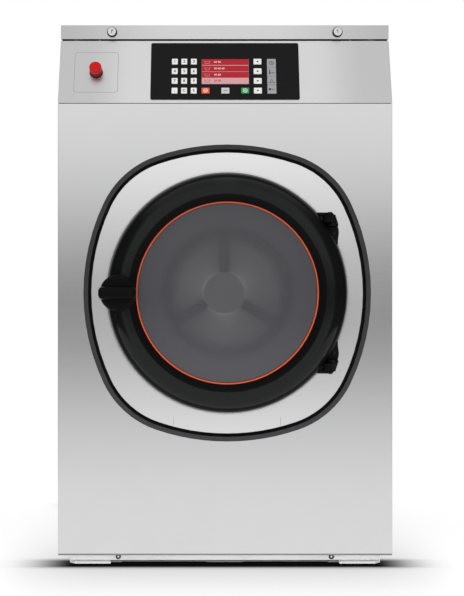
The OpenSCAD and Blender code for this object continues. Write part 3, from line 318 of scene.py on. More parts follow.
# What a user would change of the finishes: colour, roughness and its spread, unevenness of tone, grain,
# strength and depth of the relief, and what isn't as usual
acrossGrain = (9, 700, 700)
uprightGrain = (700, 700, 9)
finishes = {
    "steelFront": ((0.725, 0.725, 0.73, 1), 0.15, 0.05, 0.03, acrossGrain, 0.05, 0.02,
        {"metallic": 1, "dust": 0.05}),
    "steelFascia": ((0.79, 0.79, 0.795, 1), 0.36, 0.05, 0.02, acrossGrain, 0.06, 0.02,
        {"metallic": 1, "dust": 0.03}),
    "steelLid": ((0.72, 0.72, 0.725, 1), 0.26, 0.06, 0.03, acrossGrain, 0.06, 0.02,
        {"metallic": 1, "dust": 0.05}),
    "steelRear": ((0.62, 0.625, 0.63, 1), 0.36, 0.08, 0.05, 180, 0.04, 0.05,
        {"metallic": 1, "dust": 0.2}),
    "sidePaint": (shade(176, 178, 180), 0.36, 0.08, 0.03, 420, 0.08, 0.1, {"dust": 0.15}),
    "basePaint": (shade(234, 234, 233), 0.42, 0.08, 0.03, 420, 0.08, 0.1, {"dust": 0.2}),
    "platePaint": ((0.92, 0.92, 0.92, 1), 0.17, 0.05, 0.02, 300, 0.02, 0.05,
        {"metallic": 1, "dust": 0.03}),
    "tubSteel": ((0.60, 0.60, 0.61, 1), 0.33, 0.1, 0.05, uprightGrain, 0.05, 0.05,
        {"metallic": 1, "dust": 0.1}),
    "drumSteel": ((0.66, 0.66, 0.68, 1), 0.30, 0.08, 0.04, 240, 0.04, 0.05, {"metallic": 1, "dust": 0}),
    # The drum's back, its hub and its spokes are one steel in lighter and darker copies that glow: painted
    # light, the hub painted lighter and the spokes darker
    "drumBack": ((0.37, 0.37, 0.395, 1), 0.42, 0.08, 0.03, 240, 0.03, 0.05,
        {"metallic": 0.6, "dust": 0, "glow": 0.235}),
    "hubSteel": ((0.66, 0.66, 0.69, 1), 0.42, 0.06, 0.03, 240, 0.03, 0.05,
        {"metallic": 0.6, "dust": 0, "glow": 0.235}),
    "spokeSteel": ((0.32, 0.32, 0.34, 1), 0.45, 0.06, 0.03, 240, 0.03, 0.05,
        {"metallic": 0.6, "dust": 0, "glow": 0.235}),
    "trimGrey": (shade(50, 50, 52), 0.55, 0.1, 0.06, 900, 0.1, 0.1, {"specular": 0.25}),
    "lipBlack": (shade(9), 0.6, 0.1, 0.1, 900, 0.1, 0.1, {"specular": 0.12}),
    "sealRubber": (shade(30, 30, 31), 0.55, 0.12, 0.1, 800, 0.12, 0.15),
    "overlayBlack": (shade(17, 17, 18), 0.36, 0.06, 0.05, 1100, 0.08, 0.05,
        {"dust": 0.02, "specular": 0.12}),
    "blackPlastic": (shade(17, 17, 18), 0.45, 0.1, 0.08, 900, 0.12, 0.1, {"specular": 0.25}),
    "ringBlack": (shade(16, 17, 17), 0.13, 0.04, 0.05, 500, 0.02, 0.03, {"dust": 0.01, "specular": 0.2}),
    "ringBevel": (shade(15), 0.5, 0.08, 0.05, 500, 0.03, 0.04, {"dust": 0.01, "specular": 0.06}),
    "frameBlack": (shade(26, 26, 27), 0.42, 0.1, 0.08, 300, 0.12, 0.2),
    "knobBlack": (shade(12), 0.3, 0.08, 0.08, 800, 0.06, 0.08, {"dust": 0.01, "specular": 0.05}),
    "bracketBlack": (shade(12), 0.4, 0.08, 0.08, 350, 0.1, 0.1, {"dust": 0.03, "specular": 0.12}),
    "accentOrange": (shade(214, 84, 40), 0.34, 0.06, 0.05, 500, 0.03, 0.05),
    "bowlGlass": (shade(60, 62, 64), 0.05, 0.02, 0.03, 40, 0.01, 0.05,
        {"dust": 0.02, "alpha": 0.02, "ior": 1.5}),
    "stopRed": (shade(200, 26, 31), 0.34, 0.06, 0.05, 500, 0.04, 0.05, {"specular": 0.1}),
    "stopLine": (shade(186, 112, 98), 0.4, 0.06, 0.05, 500, 0.04, 0.05),
    "stopShade": (shade(118, 20, 28), 0.4, 0.06, 0.05, 500, 0.04, 0.05, {"specular": 0.2}),
    "lockChrome": ((0.70, 0.70, 0.71, 1), 0.16, 0.06, 0.04, (300, 300, 40), 0.05, 0.05,
        {"metallic": 1}),
    "boltSteel": ((0.72, 0.72, 0.73, 1), 0.25, 0.08, 0.05, 700, 0.05, 0.05, {"metallic": 1}),
    "bearingSteel": ((0.68, 0.68, 0.69, 1), 0.18, 0.05, 0.04, (500, 20, 500), 0.04, 0.05,
        {"metallic": 1}),
    "whitePlastic": (shade(222, 221, 216), 0.42, 0.08, 0.03, 700, 0.08, 0.08),
    "greyPlastic": (shade(92, 93, 96), 0.5, 0.1, 0.06, 700, 0.1, 0.1),
    "greyPaint": (shade(112, 115, 118), 0.42, 0.1, 0.05, 400, 0.1, 0.1),
    "castGrey": (shade(96, 98, 101), 0.55, 0.15, 0.12, 260, 0.3, 0.5, {"metallic": 0.6}),
    "spiderCast": (shade(158, 160, 163), 0.5, 0.12, 0.1, 260, 0.3, 0.4, {"metallic": 0.8}),
    "motorPaint": (shade(62, 74, 92), 0.42, 0.1, 0.06, 320, 0.15, 0.2),
    "beltRubber": (shade(28, 28, 29), 0.7, 0.1, 0.1, (60, 900, 60), 0.2, 0.2),
    "boardGreen": (shade(24, 92, 52), 0.35, 0.08, 0.1, 900, 0.1, 0.05),
    # Dark patches for holes, slots and recesses that are not cut: painted shade
    "holeDark": (shade(12), 0.7, 0.1, 0.1, 500, 0.05, 0.05),
    "keyWhite": (shade(236, 236, 234), 0.38, 0.06, 0.02, 900, 0.05, 0.05, {"dust": 0.05}),
    "keyRed": (shade(236, 84, 38), 0.36, 0.06, 0.03, 900, 0.05, 0.05),
    "keyGrey": (shade(204, 205, 205), 0.38, 0.06, 0.03, 900, 0.05, 0.05),
    "keyGreen": (shade(26, 152, 74), 0.36, 0.06, 0.03, 900, 0.05, 0.05),
    "inkDark": (shade(30, 30, 32), 0.5, 0.05, 0.05, 900, 0.03, 0.05),
    "inkWhite": (shade(236), 0.5, 0.05, 0.02, 900, 0.03, 0.05),
    "stripGrey": (shade(158, 159, 161), 0.4, 0.06, 0.03, 900, 0.04, 0.05),
    "lineGrey": (shade(148), 0.5, 0.06, 0.03, 900, 0.04, 0.05),
    "sheetEdge": (shade(168, 169, 171), 0.5, 0.06, 0.03, 600, 0.03, 0.05, {"specular": 0.3}),
    "footShade": (shade(140), 0.6, 0.06, 0.03, 420, 0.06, 0.05, {"specular": 0.1}),
    "hemPaintedShade": (shade(122), 0.5, 0.06, 0.03, 900, 0.04, 0.05, {"specular": 0.2}),
    "seatShade": (shade(136), 0.6, 0.06, 0.03, 900, 0.04, 0.05, {"specular": 0.1}),
    "screenRed": (shade(172, 36, 47), 0.3, 0.03, 0.04, 300, 0.01, 0.05, {"specular": 0.15, "glow": 0.04}),
    "screenPink": (shade(202, 148, 151), 0.2, 0.03, 0.03, 300, 0.01, 0.05, {"glow": 0.15}),
    "screenLight": (shade(240, 196, 190), 0.12, 0.03, 0.02, 300, 0.01, 0.05, {"glow": 0.15}),
    "screenLine": (shade(222, 128, 132), 0.12, 0.03, 0.02, 300, 0.01, 0.05, {"glow": 0.15}),
    "paneGlass": (shade(72, 71, 75), 0.12, 0.02, 0.02, 40, 0.005, 0.05, {"dust": 0.01, "ior": 1.33}),
}
looks = {name: finish(name, *row) for name, row in finishes.items()}

# The outer pane: grey print near its rim, see-through in the middle, less dark for light than for the eye
smoked = {"eye": 0.46, "light": 0.22, "printFrom": 0.096, "printTo": 0.150}
tree = looks["paneGlass"].node_tree
mask = grouped(tree, bandGroup, {"From": smoked["printFrom"], "To": smoked["printTo"]})
plain = smoked["eye"] - rays(tree, "Shadow", "Diffuse") * (smoked["eye"] - smoked["light"])
fill(tree.nodes["shader"], {"Alpha": plain + (1 - plain) * take(mask, "Mask")})

# The fascia and the lid get this painted shade at their ends
for look, start, end, amount in (("steelFascia", 0.19, 0.30, 0.18), ("steelLid", 0.08, 0.38, 0.25)):
    tree = looks[look].node_tree
    fall = grouped(tree, endGroup, {
        "Colour": take(tree.nodes["film"], "Colour"), "From": start, "To": end, "Amount": amount})
    fill(tree.nodes["shader"], {"Base Color": take(fall, "Colour")})

# The drum's back gets a painted sheen, brighter in fans between its spokes
fans = {"bright": (0.95, 0.95, 0.97, 1), "hub": 0.052, "fade": 0.075}
tree = looks["drumBack"].node_tree
mask = grouped(tree, fanGroup, {"Hub": fans["hub"], "Fade": fans["fade"]})
fill(tree.nodes["skin"], {"Colour": mixColour(take(mask, "Mask"), finishes["drumBack"][0], fans["bright"])})
print("finishes ready:", len(looks))


# Mesh helpers

def addObject(name, data):
    made = bpy.data.objects.new(name, data)
    bpy.context.scene.collection.objects.link(made)
    return made


def addPiece(name, bm, body, look, replaced=(), sharp=30, outwards=True):
    bmesh.ops.remove_doubles(bm, verts=bm.verts, dist=1e-6)
    if outwards:
        bmesh.ops.recalc_face_normals(bm, faces=bm.faces)
    mesh = bpy.data.meshes.new(name)
    bm.to_mesh(mesh)
    bm.free()
    mesh.shade_smooth()
    mesh.set_sharp_from_angle(angle=turn(sharp))
    mesh.materials.append(looks[look])
    made = addObject(name, mesh)
    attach(made, body)
    if replaced:
        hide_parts(*replaced)
    return made


def soften(made, width, segments=2):
    edge = made.modifiers.new("softEdges", "BEVEL")
    edge.width = width * mm
    edge.segments = segments
    edge.limit_method = "ANGLE"
    edge.angle_limit = turn(35)
    edge.harden_normals = True
    edge.miter_outer = "MITER_SHARP"
    return made


def softenSome(made, width, chosen):
    # breaks only the edges whose two ends pass the test
    marks = made.data.attributes.new("bevel_weight_edge", "FLOAT", "EDGE")
    corners = made.data.vertices
    for edge, mark in zip(made.data.edges, marks.data):
        mark.value = 1 if chosen(*[corners[i].co / mm for i in edge.vertices]) else 0
    soften(made, width).modifiers["softEdges"].limit_method = "WEIGHT"


def dressed(node, look, width=0.6, segments=2, sharp=30):
    # the node's own shape, merged, with its edges broken
    bm = bmesh.new()
    bm.from_mesh(nodes[node].data)
    bmesh.ops.remove_doubles(bm, verts=bm.verts, dist=2e-6)
    bmesh.ops.dissolve_limit(bm, angle_limit=turn(1), verts=bm.verts, edges=bm.edges)
    words = node.split("_")
    label = words[0] + "".join(w.capitalize() for w in words[1:])
    made = addPiece(label, bm, nodes[node]["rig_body"], look, (node,), sharp, False)
    return soften(made, width, segments) if width else made


def paintFaces(made, look, chosen):
    # another look for the faces that pass the test
    made.data.materials.append(looks[look])
    for face in made.data.polygons:
        if chosen(face):
            face.material_index = len(made.data.materials) - 1


def fromAxis(point, x=0):
    # how far a point lies from the drum's axis, or from a line beside it
    return math.hypot(point.x / mm - cabinet["axisX"] - x, point.z / mm - cabinet["axisZ"])


def rounded(points, radius, steps=3, closed=False):
    # the profile with its corners drawn round
    made = []
    count = len(points)
    for i, p in enumerate(points):
        if not closed and i in (0, count - 1):
            made.append(p)
            continue
        corner, before, after = Vector(p), Vector(points[i - 1]), Vector(points[(i + 1) % count])
        back, ahead = before - corner, after - corner
        reach = min(radius, back.length * 0.45, ahead.length * 0.45)
        a, b = corner + back.normalized() * reach, corner + ahead.normalized() * reach
        for k in range(steps + 1):
            t = k / steps
            made.append(tuple((1 - t) ** 2 * a + 2 * t * (1 - t) * corner + t * t * b))
    return made


def oblong(inner, outer, low, high):
    return [(inner, low), (inner, high), (outer, high), (outer, low)]


def fromMesh(mesh, bm):
    bm.from_mesh(mesh)
    bpy.data.meshes.remove(mesh)
    return bm


def joinMesh(bm, other):
    mesh = bpy.data.meshes.new("scratch")
    other.to_mesh(mesh)
    other.free()
    fromMesh(mesh, bm)


def lathe(profile, steps=96, closed=False, place=onAxis, bm=None):
    made = bmesh.new()
    verts = [made.verts.new((r * mm, 0, z * mm)) for r, z in profile]
    edges = [made.edges.new(pair) for pair in zip(verts, verts[1:])]
    if closed:
        edges.append(made.edges.new((verts[-1], verts[0])))
    bmesh.ops.spin(made, geom=verts + edges, cent=(0, 0, 0), axis=(0, 0, 1), dvec=(0, 0, 0),
                   angle=2 * math.pi, steps=steps, use_merge=True, use_normal_flip=False, use_duplicate=False)
    bmesh.ops.remove_doubles(made, verts=made.verts, dist=1e-6)
    made.transform(place)
    if bm is None:
        return made
    joinMesh(bm, made)
    return bm


def breakEdges(bm, edges, width, segments=2):
    bmesh.ops.bevel(bm, geom=edges, offset=width * mm, affect="EDGES", segments=segments, profile=0.5,
                    material=-1, clamp_overlap=True)


def cube(size):
    made = bmesh.new()
    bmesh.ops.create_cube(made, size=1, matrix=Matrix.Diagonal((*[s * mm for s in size], 1)))
    return made


def addBox(bm, size, at, place=unmoved, edge=0, spin=0):
    # a block by its size and middle, with its edges broken
    made = cube(size)
    if edge:
        breakEdges(made, made.edges[:], edge)
    made.transform(place @ shift(*at) @ spun(spin))
    joinMesh(bm, made)


def addPrism(bm, sides, radius, low, high, at=(0, 0), place=unmoved, spin=0):
    made = bmesh.new()
    bmesh.ops.create_cone(made, cap_ends=True, cap_tris=False, segments=sides, radius1=radius * mm,
                          radius2=radius * mm, depth=(high - low) * mm)
    made.transform(place @ shift(*at, (low + high) / 2) @ spun(spin))
    joinMesh(bm, made)


def addSlab(bm, outline, low, high, place, edge=0):
    # a plate from its outline in the local x and y
    made = bmesh.new()
    face = made.faces.new([made.verts.new((x * mm, y * mm, low * mm)) for x, y in outline])
    moved = bmesh.ops.extrude_face_region(made, geom=[face])["geom"]
    upper = [part for part in moved if isinstance(part, bmesh.types.BMVert)]
    bmesh.ops.translate(made, vec=(0, 0, (high - low) * mm), verts=upper)
    bmesh.ops.recalc_face_normals(made, faces=made.faces)
    if edge:
        breakEdges(made, made.edges[:], edge)
    made.transform(place)
    joinMesh(bm, made)


def drawMarks(name, marks, place, body, look, low, high):
    # thin raised marks in one mesh: bars, rings, and prisms by the number of their sides
    bm = bmesh.new()
    for kind, x, y, *sizes in marks:
        if kind == "bar":
            wide, long, *spin = sizes
            addBox(bm, (wide, long, high - low), (x, y, (low + high) / 2), place, spin=sum(spin))
        elif kind == "ring":
            lathe(oblong(*sizes, low, high), 24, True, place @ shift(x, y), bm)
        else:
            addPrism(bm, kind, sizes[0], low, high, (x, y), place, *sizes[1:])
    return addPiece(name, bm, body, look)


def addSign(name, words, size, place, body, look, low, high, align="CENTER", bold=0.2):
    # a generic sign from the plain built-in letters, made a mesh before it is placed
    curve = bpy.data.curves.new(name, "FONT")
    curve.body, curve.size, curve.extrude = words, size * mm, (high - low) / 2 * mm
    curve.align_x, curve.align_y = align, "CENTER"
    curve.offset = bold * mm
    curve.resolution_u = 3
    source = addObject(name + "Source", curve)
    bpy.context.view_layer.update()
    mesh = bpy.data.meshes.new_from_object(source.evaluated_get(bpy.context.evaluated_depsgraph_get()))
    bpy.data.objects.remove(source)
    bpy.data.curves.remove(curve)
    bm = fromMesh(mesh, bmesh.new())
    bm.transform(place @ shift(0, 0, (low + high) / 2))
    return addPiece(name, bm, body, look, outwards=False)


# The cabinet's sheets and the trim

sheets = {"fold": 0.7, "edgeX": 340, "sideways": 0.98, "longEdge": 600, "trimBlack": -0.4}
frontPanel = dressed("front_panel", "steelFront", sheets["fold"], 3)
fascia = dressed("control_fascia", "steelFascia", 0, sharp=8)
softenSome(fascia, 0.6, lambda a, b: (min(abs(a.x), abs(b.x)) > cabinet["sideX"] - 0.1
                                      or abs(a.x - b.x) > sheets["longEdge"]))
topLid = dressed("top_lid", "steelLid", sheets["fold"], 3)
# The steel sheets' side faces get a plain grey in place of steel, a painted light that keeps them from
# mirroring the dark sides of the surroundings
for made in (frontPanel, fascia, topLid):  # their edges at the sides mirror nothing
    paintFaces(made, "sheetEdge", lambda face: (abs(face.normal.x) > sheets["sideways"]
                                                and abs(face.center.x) > sheets["edgeX"] * mm))
dressed("left_side_panel", "sidePaint")
dressed("right_side_panel", "sidePaint")
dressed("rear_panel", "steelRear", 0.4)
dressed("base_frame", "basePaint", 1)

# The folded foot of the plinth, lighter above, with its lower strip and its tab in painted shade
plinth = {"halfX": 333, "frontY": -333.2, "deep": 3, "high": 5.6, "light": 3.4, "low": 1.3, "tabX": 39.5,
          "tabLow": 0.2}
halfX, frontY, deep, high, light, low, tabX, tabLow = plinth.values()
plinthMesh = bmesh.new()
for half, bottom, top in ((halfX, light, high), (halfX, low, light), (tabX, tabLow, low)):
    addBox(plinthMesh, (2 * half, deep, top - bottom), (0, frontY + deep / 2, (bottom + top) / 2))
plinthFold = addPiece("plinthFold", plinthMesh, "cabinet", "basePaint")
paintFaces(plinthFold, "footShade", lambda face: face.center.z < plinth["light"] * mm)
dressed("tub_front", "platePaint", 0.5)
trim = dressed("opening_trim", "trimGrey")
trimBlack = (cabinet["frontY"] + sheets["trimBlack"]) * mm
# The web and the inner lip are black rubber, made darker than the grey face as painted shade in the gap
paintFaces(trim, "lipBlack", lambda face: face.center.y > trimBlack)  # the web and the inner lip

# A dark strip at the front panel's foot: painted shade under the panel's folded edge
hemShadeStrip = {"low": 23.2, "high": 27, "halfX": 354.4, "deep": 2.6, "back": -0.12}
low, high, halfX, deep, back = hemShadeStrip.values()
hemShadeMesh = bmesh.new()
hemShadeY = cabinet["frontY"] + back + deep / 2
addBox(hemShadeMesh, (2 * halfX, deep, high - low), (0, hemShadeY, (low + high) / 2), edge=0.4)
addPiece("panelHem", hemShadeMesh, "cabinet", "hemPaintedShade")
print("cabinet dressed")


# Control panel

controls = {"overlayEdge": 0.4, "keyEdge": 0.5, "keyTop": 2.5, "overlayTop": 1.5, "signSize": 8.8,
            "numberCols": (-107.5, -87.3, -66.7), "rows": (28.8, 52.4, 76, 99.6),
            "actionX": (-41.5, 0.7, 42.8), "arrowX": 70}
keyEdge, keyTop, rows, actionX = pick(controls, "keyEdge", "keyTop", "rows", "actionX")
stopSpot = {"x": -276, "s": 74.6, "collarZ": -1}
placeStop = onFascia(stopSpot["x"], stopSpot["s"])


def aboveFascia(face):
    return (placeStop.inverted() @ face.center).z / mm


dressed("keypad_overlay", "overlayBlack", controls["overlayEdge"])
dressed("display_screen", "screenPink", 0.3)
dressed("control_board", "boardGreen", 0)
stopBody = dressed("estop_body", "blackPlastic", 0.4)
# The collar in sight gets the same painted shade
paintFaces(stopBody, "stopShade", lambda face: aboveFascia(face) > stopSpot["collarZ"])  # the collar in sight
stopPlate = {"wide": 94, "long": 98, "inset": 0.4, "corner": 6, "line": 0.9}
halfW, halfL = [stopPlate[side] / 2 - stopPlate["inset"] for side in ("wide", "long")]
corners = [(-halfW, -halfL), (halfW, -halfL), (halfW, halfL), (-halfW, halfL)]
around = rounded(corners, stopPlate["corner"], 4, True)
marks = []
for (ax, ay), (bx, by) in zip(around, around[1:] + around[:1]):
    length = math.hypot(bx - ax, by - ay)
    if length > 0.01:
        marks.append(("bar", (ax + bx) / 2, (ay + by) / 2, length + 0.3, stopPlate["line"],
                      math.degrees(math.atan2(by - ay, bx - ax))))
drawMarks("stopPlateLine", marks, placeStop, "cabinet", "lineGrey", -0.3, 0.04)

signLow, signHigh = keyTop - 0.05, keyTop + 0.06
numberKeys = ((".", "C", "S"), ("7", "8", "9"), ("4", "5", "6"), ("1", "2", "3"))
keyNames = {".": "key_dot", "C": "key_clear", "S": "key_set"}
for s, signs in zip(rows, numberKeys):
    for x, sign in zip(controls["numberCols"], signs):
        node = keyNames.get(sign, "key_" + sign)
        dressed(node, "keyWhite", keyEdge, 3)
        addSign("sign_" + node, sign, controls["signSize"], onFascia(x, s), node, "inkDark",
                signLow, signHigh)
for s, node, angle in zip(rows, ("key_right", "key_left", "key_down", "key_up"), (0, 180, -90, 90)):
    dressed(node, "keyWhite", keyEdge, 3)
    drawMarks("sign_" + node, [(3, 0, 0, 3, angle)], onFascia(controls["arrowX"], s),
              node, "inkDark", signLow, signHigh)
actionKeys = (("key_stop", "keyRed", "key_red", "inkWhite", [(8, 0, 0, 4.9, 22.5)]),
              ("key_enter", "keyGrey", "key_grey", "inkDark",
               [("bar", 1, -0.6, 5.6, 0.9), ("bar", 3.6, 0.8, 0.9, 3.6), (3, -2.6, -0.6, 2, 180)]),
              ("key_start", "keyGreen", "key_green", "inkWhite", [(24, 0, 0, 4.9)]))
for x, (node, look, slot, ink, marks) in zip(actionX, actionKeys):
    dressed(node, look, keyEdge, 3)
    drawMarks("sign_" + node, marks, onFascia(x, rows[0]), node, ink, signLow, signHigh)
for x, node, look, slot, field, sign in (
        (actionX[0], "key_stop", "keyRed", "key_red", (8, 0, 0, 3.7, 22.5), ("bar", 0, 0, 4.2, 1.5)),
        (actionX[2], "key_start", "keyGreen", "key_green", (24, 0, 0, 3.6), (3, -0.2, 0, 2.4, 0))):
    spot = onFascia(x, rows[0])
    drawMarks("field_" + node, [field], spot, node, look, signHigh - 0.02, signHigh + 0.05)
    drawMarks("middle_" + node, [sign], spot, node, "inkWhite", signHigh, signHigh + 0.1)

# Rows on the screen: three red ones and a pale one, each with a basin sign and plain numbers
screen = {"x": 0.7, "width": 100.2, "top": 1.1, "rowTops": (106.2, 90.3, 75, 60.4), "rowLength": 14.4,
          "iconX": -38.4, "textX": -24.2, "textSize": 6.4, "numbers": ("60 90", "30 40 60", "40 60", "20 30")}
top, x = pick(screen, "top", "iconX")
low, high = top + 0.03, top + 0.1
middles = [s - screen["rowLength"] / 2 for s in screen["rowTops"]]
basins = [[("bar", x, s - 3.4, 8.4, 0.8), ("bar", x - 5, s, 0.8, 7.2, 14),
           ("bar", x + 5, s, 0.8, 7.2, -14), ("bar", x, s + 1.6, 7.6, 0.6)] for s in middles]
redRows = [("bar", 0, s, screen["width"], screen["rowLength"]) for s in middles[:3]]
for name, marks, look, foot, crest in (
        ("screenRows", redRows, "screenRed", top - 0.05, top + 0.05),
        ("screenIcons", sum(basins[:3], []), "screenLine", low, high),
        ("screenIconBelow", basins[3], "screenRed", low, high)):
    drawMarks(name, marks, onFascia(screen["x"], 0), "cabinet", look, foot, crest)
for row, (words, s) in enumerate(zip(screen["numbers"], middles)):
    addSign("screenText" + str(row), words, screen["textSize"], onFascia(screen["x"] + screen["textX"], s),
            "cabinet", "screenRed" if row == 3 else "screenLight", low, high, "LEFT", 0.1)

# Grey strip with four dark signs: clock, heat, spray and level
strip = {"x": 99.9, "width": 18.9, "low": 21.8, "high": 106.4, "rise": 0.12, "lines": (43.4, 63.9, 85.2),
         "clockS": 96.2, "heatS": 74.6, "sprayS": 53.4, "levelS": 32.6}
width, low, high, clock, heat, spray, level = pick(
    strip, "width", "low", "high", "clockS", "heatS", "sprayS", "levelS")
top = controls["overlayTop"] + strip["rise"]
signs = [("ring", 0, clock, 4.8, 3.8), ("bar", 0, clock + 1.2, 1, 3.6), ("bar", 1.4, clock - 0.4, 3, 1),
         ("bar", -3.8, heat + 0.8, 2, 8.6), (24, -3.8, heat - 3.4, 1.9), ("ring", 1.2, heat - 1.6, 1.6, 0.9),
         ("ring", 5, heat - 2.2, 1.6, 0.9), ("bar", -4, level, 5, 4.6)]
signs += [("bar", 1.7 * side, spray, 1, 7.4, 22 * side) for side in (-1, 1)]
signs += [("bar", x, level - 0.8, 1.4, 3) for x in (1.6, 4.8)]
signs += [(24, x, spray - 5, 1) for x in (-6, -3, 0, 3, 6)]
lines = [("bar", 0, s, width, 0.7) for s in strip["lines"]]
for name, marks, look, slot, foot, crest in (
        ("iconStrip", [("bar", 0, (low + high) / 2, width, high - low)], "stripGrey", "key_grey",
         controls["overlayTop"] - 0.02, top),
        ("stripSigns", signs, "inkDark", "overlay_black", top - 0.03, top + 0.08),
        ("stripLines", lines, "greyPlastic", "key_grey", top - 0.03, top + 0.05)):
    drawMarks(name, marks, onFascia(strip["x"], 0), "cabinet", look, foot, crest)

# Emergency stop: crowned cap with a pale line near its foot
stopButton = {"radius": 13, "high": 24, "lineLow": 14.6, "lineHigh": 16.2, "shankR": 6, "shankLow": -29}
r, high, lineLow, lineHigh, shankR, shankLow = stopButton.values()
cap = [(0, shankLow), (shankR, shankLow), (shankR, -2), (r, -2), (r, lineLow), (r - 0.5, lineLow + 0.2),
       (r - 0.5, lineHigh - 0.2), (r, lineHigh), (r, high - 1.6), (r - 2.2, high - 0.4), (0, high)]
stopCap = addPiece("stopCap", lathe(rounded(cap, 0.8), 64, place=placeStop), "estop_button", "stopRed",
                   ("estop_button",))
# The shank under the line gets a painted shade, a darker copy of the red
paintFaces(stopCap, "stopShade", lambda face: aboveFascia(face) < stopButton["lineLow"])
stopLine = oblong(r - 0.7, r - 0.15, lineLow + 0.1, lineHigh - 0.1)
addPiece("stopRing", lathe(stopLine, 64, True, placeStop), "estop_button", "stopLine")
print("control panel dressed")


# Lid locks: black barrel, bright face with a hooked key slot

lock = {"x": 244, "z": 1145.2, "inner": 8.8, "back": 0.4, "barrel": 10.9, "barrelTip": 10, "barrelTop": 6.6,
        "face": 9.3, "faceLow": 7.9, "faceTop": 8.9}
x, z, inner, back, barrel, tip, top, face, faceLow, faceTop = lock.values()
barrelShape = [(inner, back), (barrel, back), (barrel, back + 3), (tip, top), (inner, top)]
barrelShape = rounded(barrelShape, 0.5, 3, True)
faceShape = rounded([(0, faceLow), (face - 0.3, faceLow), (face, faceLow + 0.4), (face - 0.5, faceTop),
                     (face - 1.4, faceTop - 0.15), (0, faceTop - 0.15)], 0.3, 2)
for side, body in ((-1, "lid_lock_left"), (1, "lid_lock_right")):
    dressed(body, "blackPlastic", 0.4)
    spot = facing("front", side * x, cabinet["lidFrontY"], z)
    addPiece("lockBarrel_" + body, lathe(barrelShape, 48, True, spot), body, "blackPlastic")
    addPiece("lockFace_" + body, lathe(faceShape, 48, place=spot), body, "lockChrome")
    slot = [("bar", 0.3 * side, -0.4, 1.4, 7.4), ("bar", -0.8 * side, 3, 3.4, 1.4),
            ("bar", -2 * side, 2.2, 1.2, 2.4)]
    drawMarks("lockSlot_" + body, slot, spot, body, "holeDark", faceTop - 0.3, faceTop - 0.1)


# The door's ring is spun from this profile

door = {"ringOut": 252, "crest": 70, "crestR": 214, "creaseR": 206.5, "creaseZ": 71, "ringIn": 191.5,
        "lipZ": 55, "seatZ": 38, "wall": 4, "rimZ": 17, "rimTop": 26, "steps": 160,
        "mattFrom": 240, "studs": (60, 120, 240, 300, 0), "studAt": 218, "stud": (6, 13.3, 66)}
ringOut, creaseR, creaseZ, ringIn, lipZ, seatZ, wall, rimZ = pick(
    door, "ringOut", "creaseR", "creaseZ", "ringIn", "lipZ", "seatZ", "wall", "rimZ")


def ringArc(inset, count):
    outer, top, middle = ringOut - inset, door["crest"] - inset, door["crestR"] - inset * 0.2
    angles = [turn(90 * i / count) for i in range(count + 1)]
    return [(middle + (outer - middle) * math.cos(a), door["rimTop"] + (top - door["rimTop"]) * math.sin(a))
            for a in angles]


arc = ringArc(0, 18)
crease = rounded([arc[-1], (creaseR, creaseZ), (ringIn, lipZ)], 1.8, 4)
ringShape = ([(ringOut - 0.8, rimZ), (ringOut, rimZ + 0.8)] + arc[:-1] + crease[:-1]
             + [(ringIn + 0.4, lipZ + 0.4), (ringIn, lipZ - 0.6), (ringIn, seatZ), (ringIn + wall, seatZ),
                (ringIn + wall, lipZ - 2), (creaseR + 2, creaseZ - wall - 1)]
             + ringArc(wall, 12)[::-1] + [(ringOut - wall, rimZ)])
ringMesh = lathe(ringShape, door["steps"], True)

# The knob's pad stands on the ring and is cut back along the glass
knob = {"x": -227, "pad": 38.5, "padZ": 72, "disc": 36.8, "discTop": 80, "gripTop": 97,
        "gripLength": 79, "gripWidth": 29, "gripShift": -1.2, "gripCorner": 11, "gripRim": 6.5,
        "narrowY": 0.86, "narrowX": 0.97, "spindle": 7, "neck": 5, "cam": (30, 11, 6), "camZ": -14}
pad, padZ, disc, discTop, gripTop, camZ = pick(knob, "pad", "padZ", "disc", "discTop", "gripTop", "camZ")
padShape = rounded([(0, rimZ + 0.3), (pad - 0.6, rimZ + 0.3), (pad, rimZ + 1), (pad, padZ - 0.4),
                    (pad - 2.4, padZ), (0, padZ)], 1.4, 3)
padMesh = lathe(padShape, 72, place=shift(knob["x"]))
cutBack = (ringIn + 2) * mm
for vert in padMesh.verts:
    reach = math.hypot(vert.co.x, vert.co.y)
    if reach < cutBack:
        vert.co.x *= cutBack / reach
        vert.co.y *= cutBack / reach
padMesh.transform(onAxis)
joinMesh(ringMesh, padMesh)
for angle in door["studs"]:
    at = [door["studAt"] * way(turn(angle)) for way in (math.cos, math.sin)]
    addPrism(ringMesh, 20, *door["stud"], at, onAxis)
doorRing = addPiece("doorRing", ringMesh, "door", "ringBlack", ("door_ring",), 32)
# The slope towards the glass, the rim and the knob's pad are matt
paintFaces(doorRing, "ringBevel", lambda face: (
    fromAxis(face.center) < door["creaseR"] - 0.6 or fromAxis(face.center) > door["mattFrom"]
    or fromAxis(face.center, knob["x"]) < knob["pad"] + 0.5))

accent = {"in": 188.2, "out": 191.2, "low": 46.3, "high": 53.2}
band = rounded(oblong(*accent.values()), 0.8, 3, True)
addPiece("accentRing", lathe(band, door["steps"], True), "door", "accentOrange",
         ("accent_ring",))

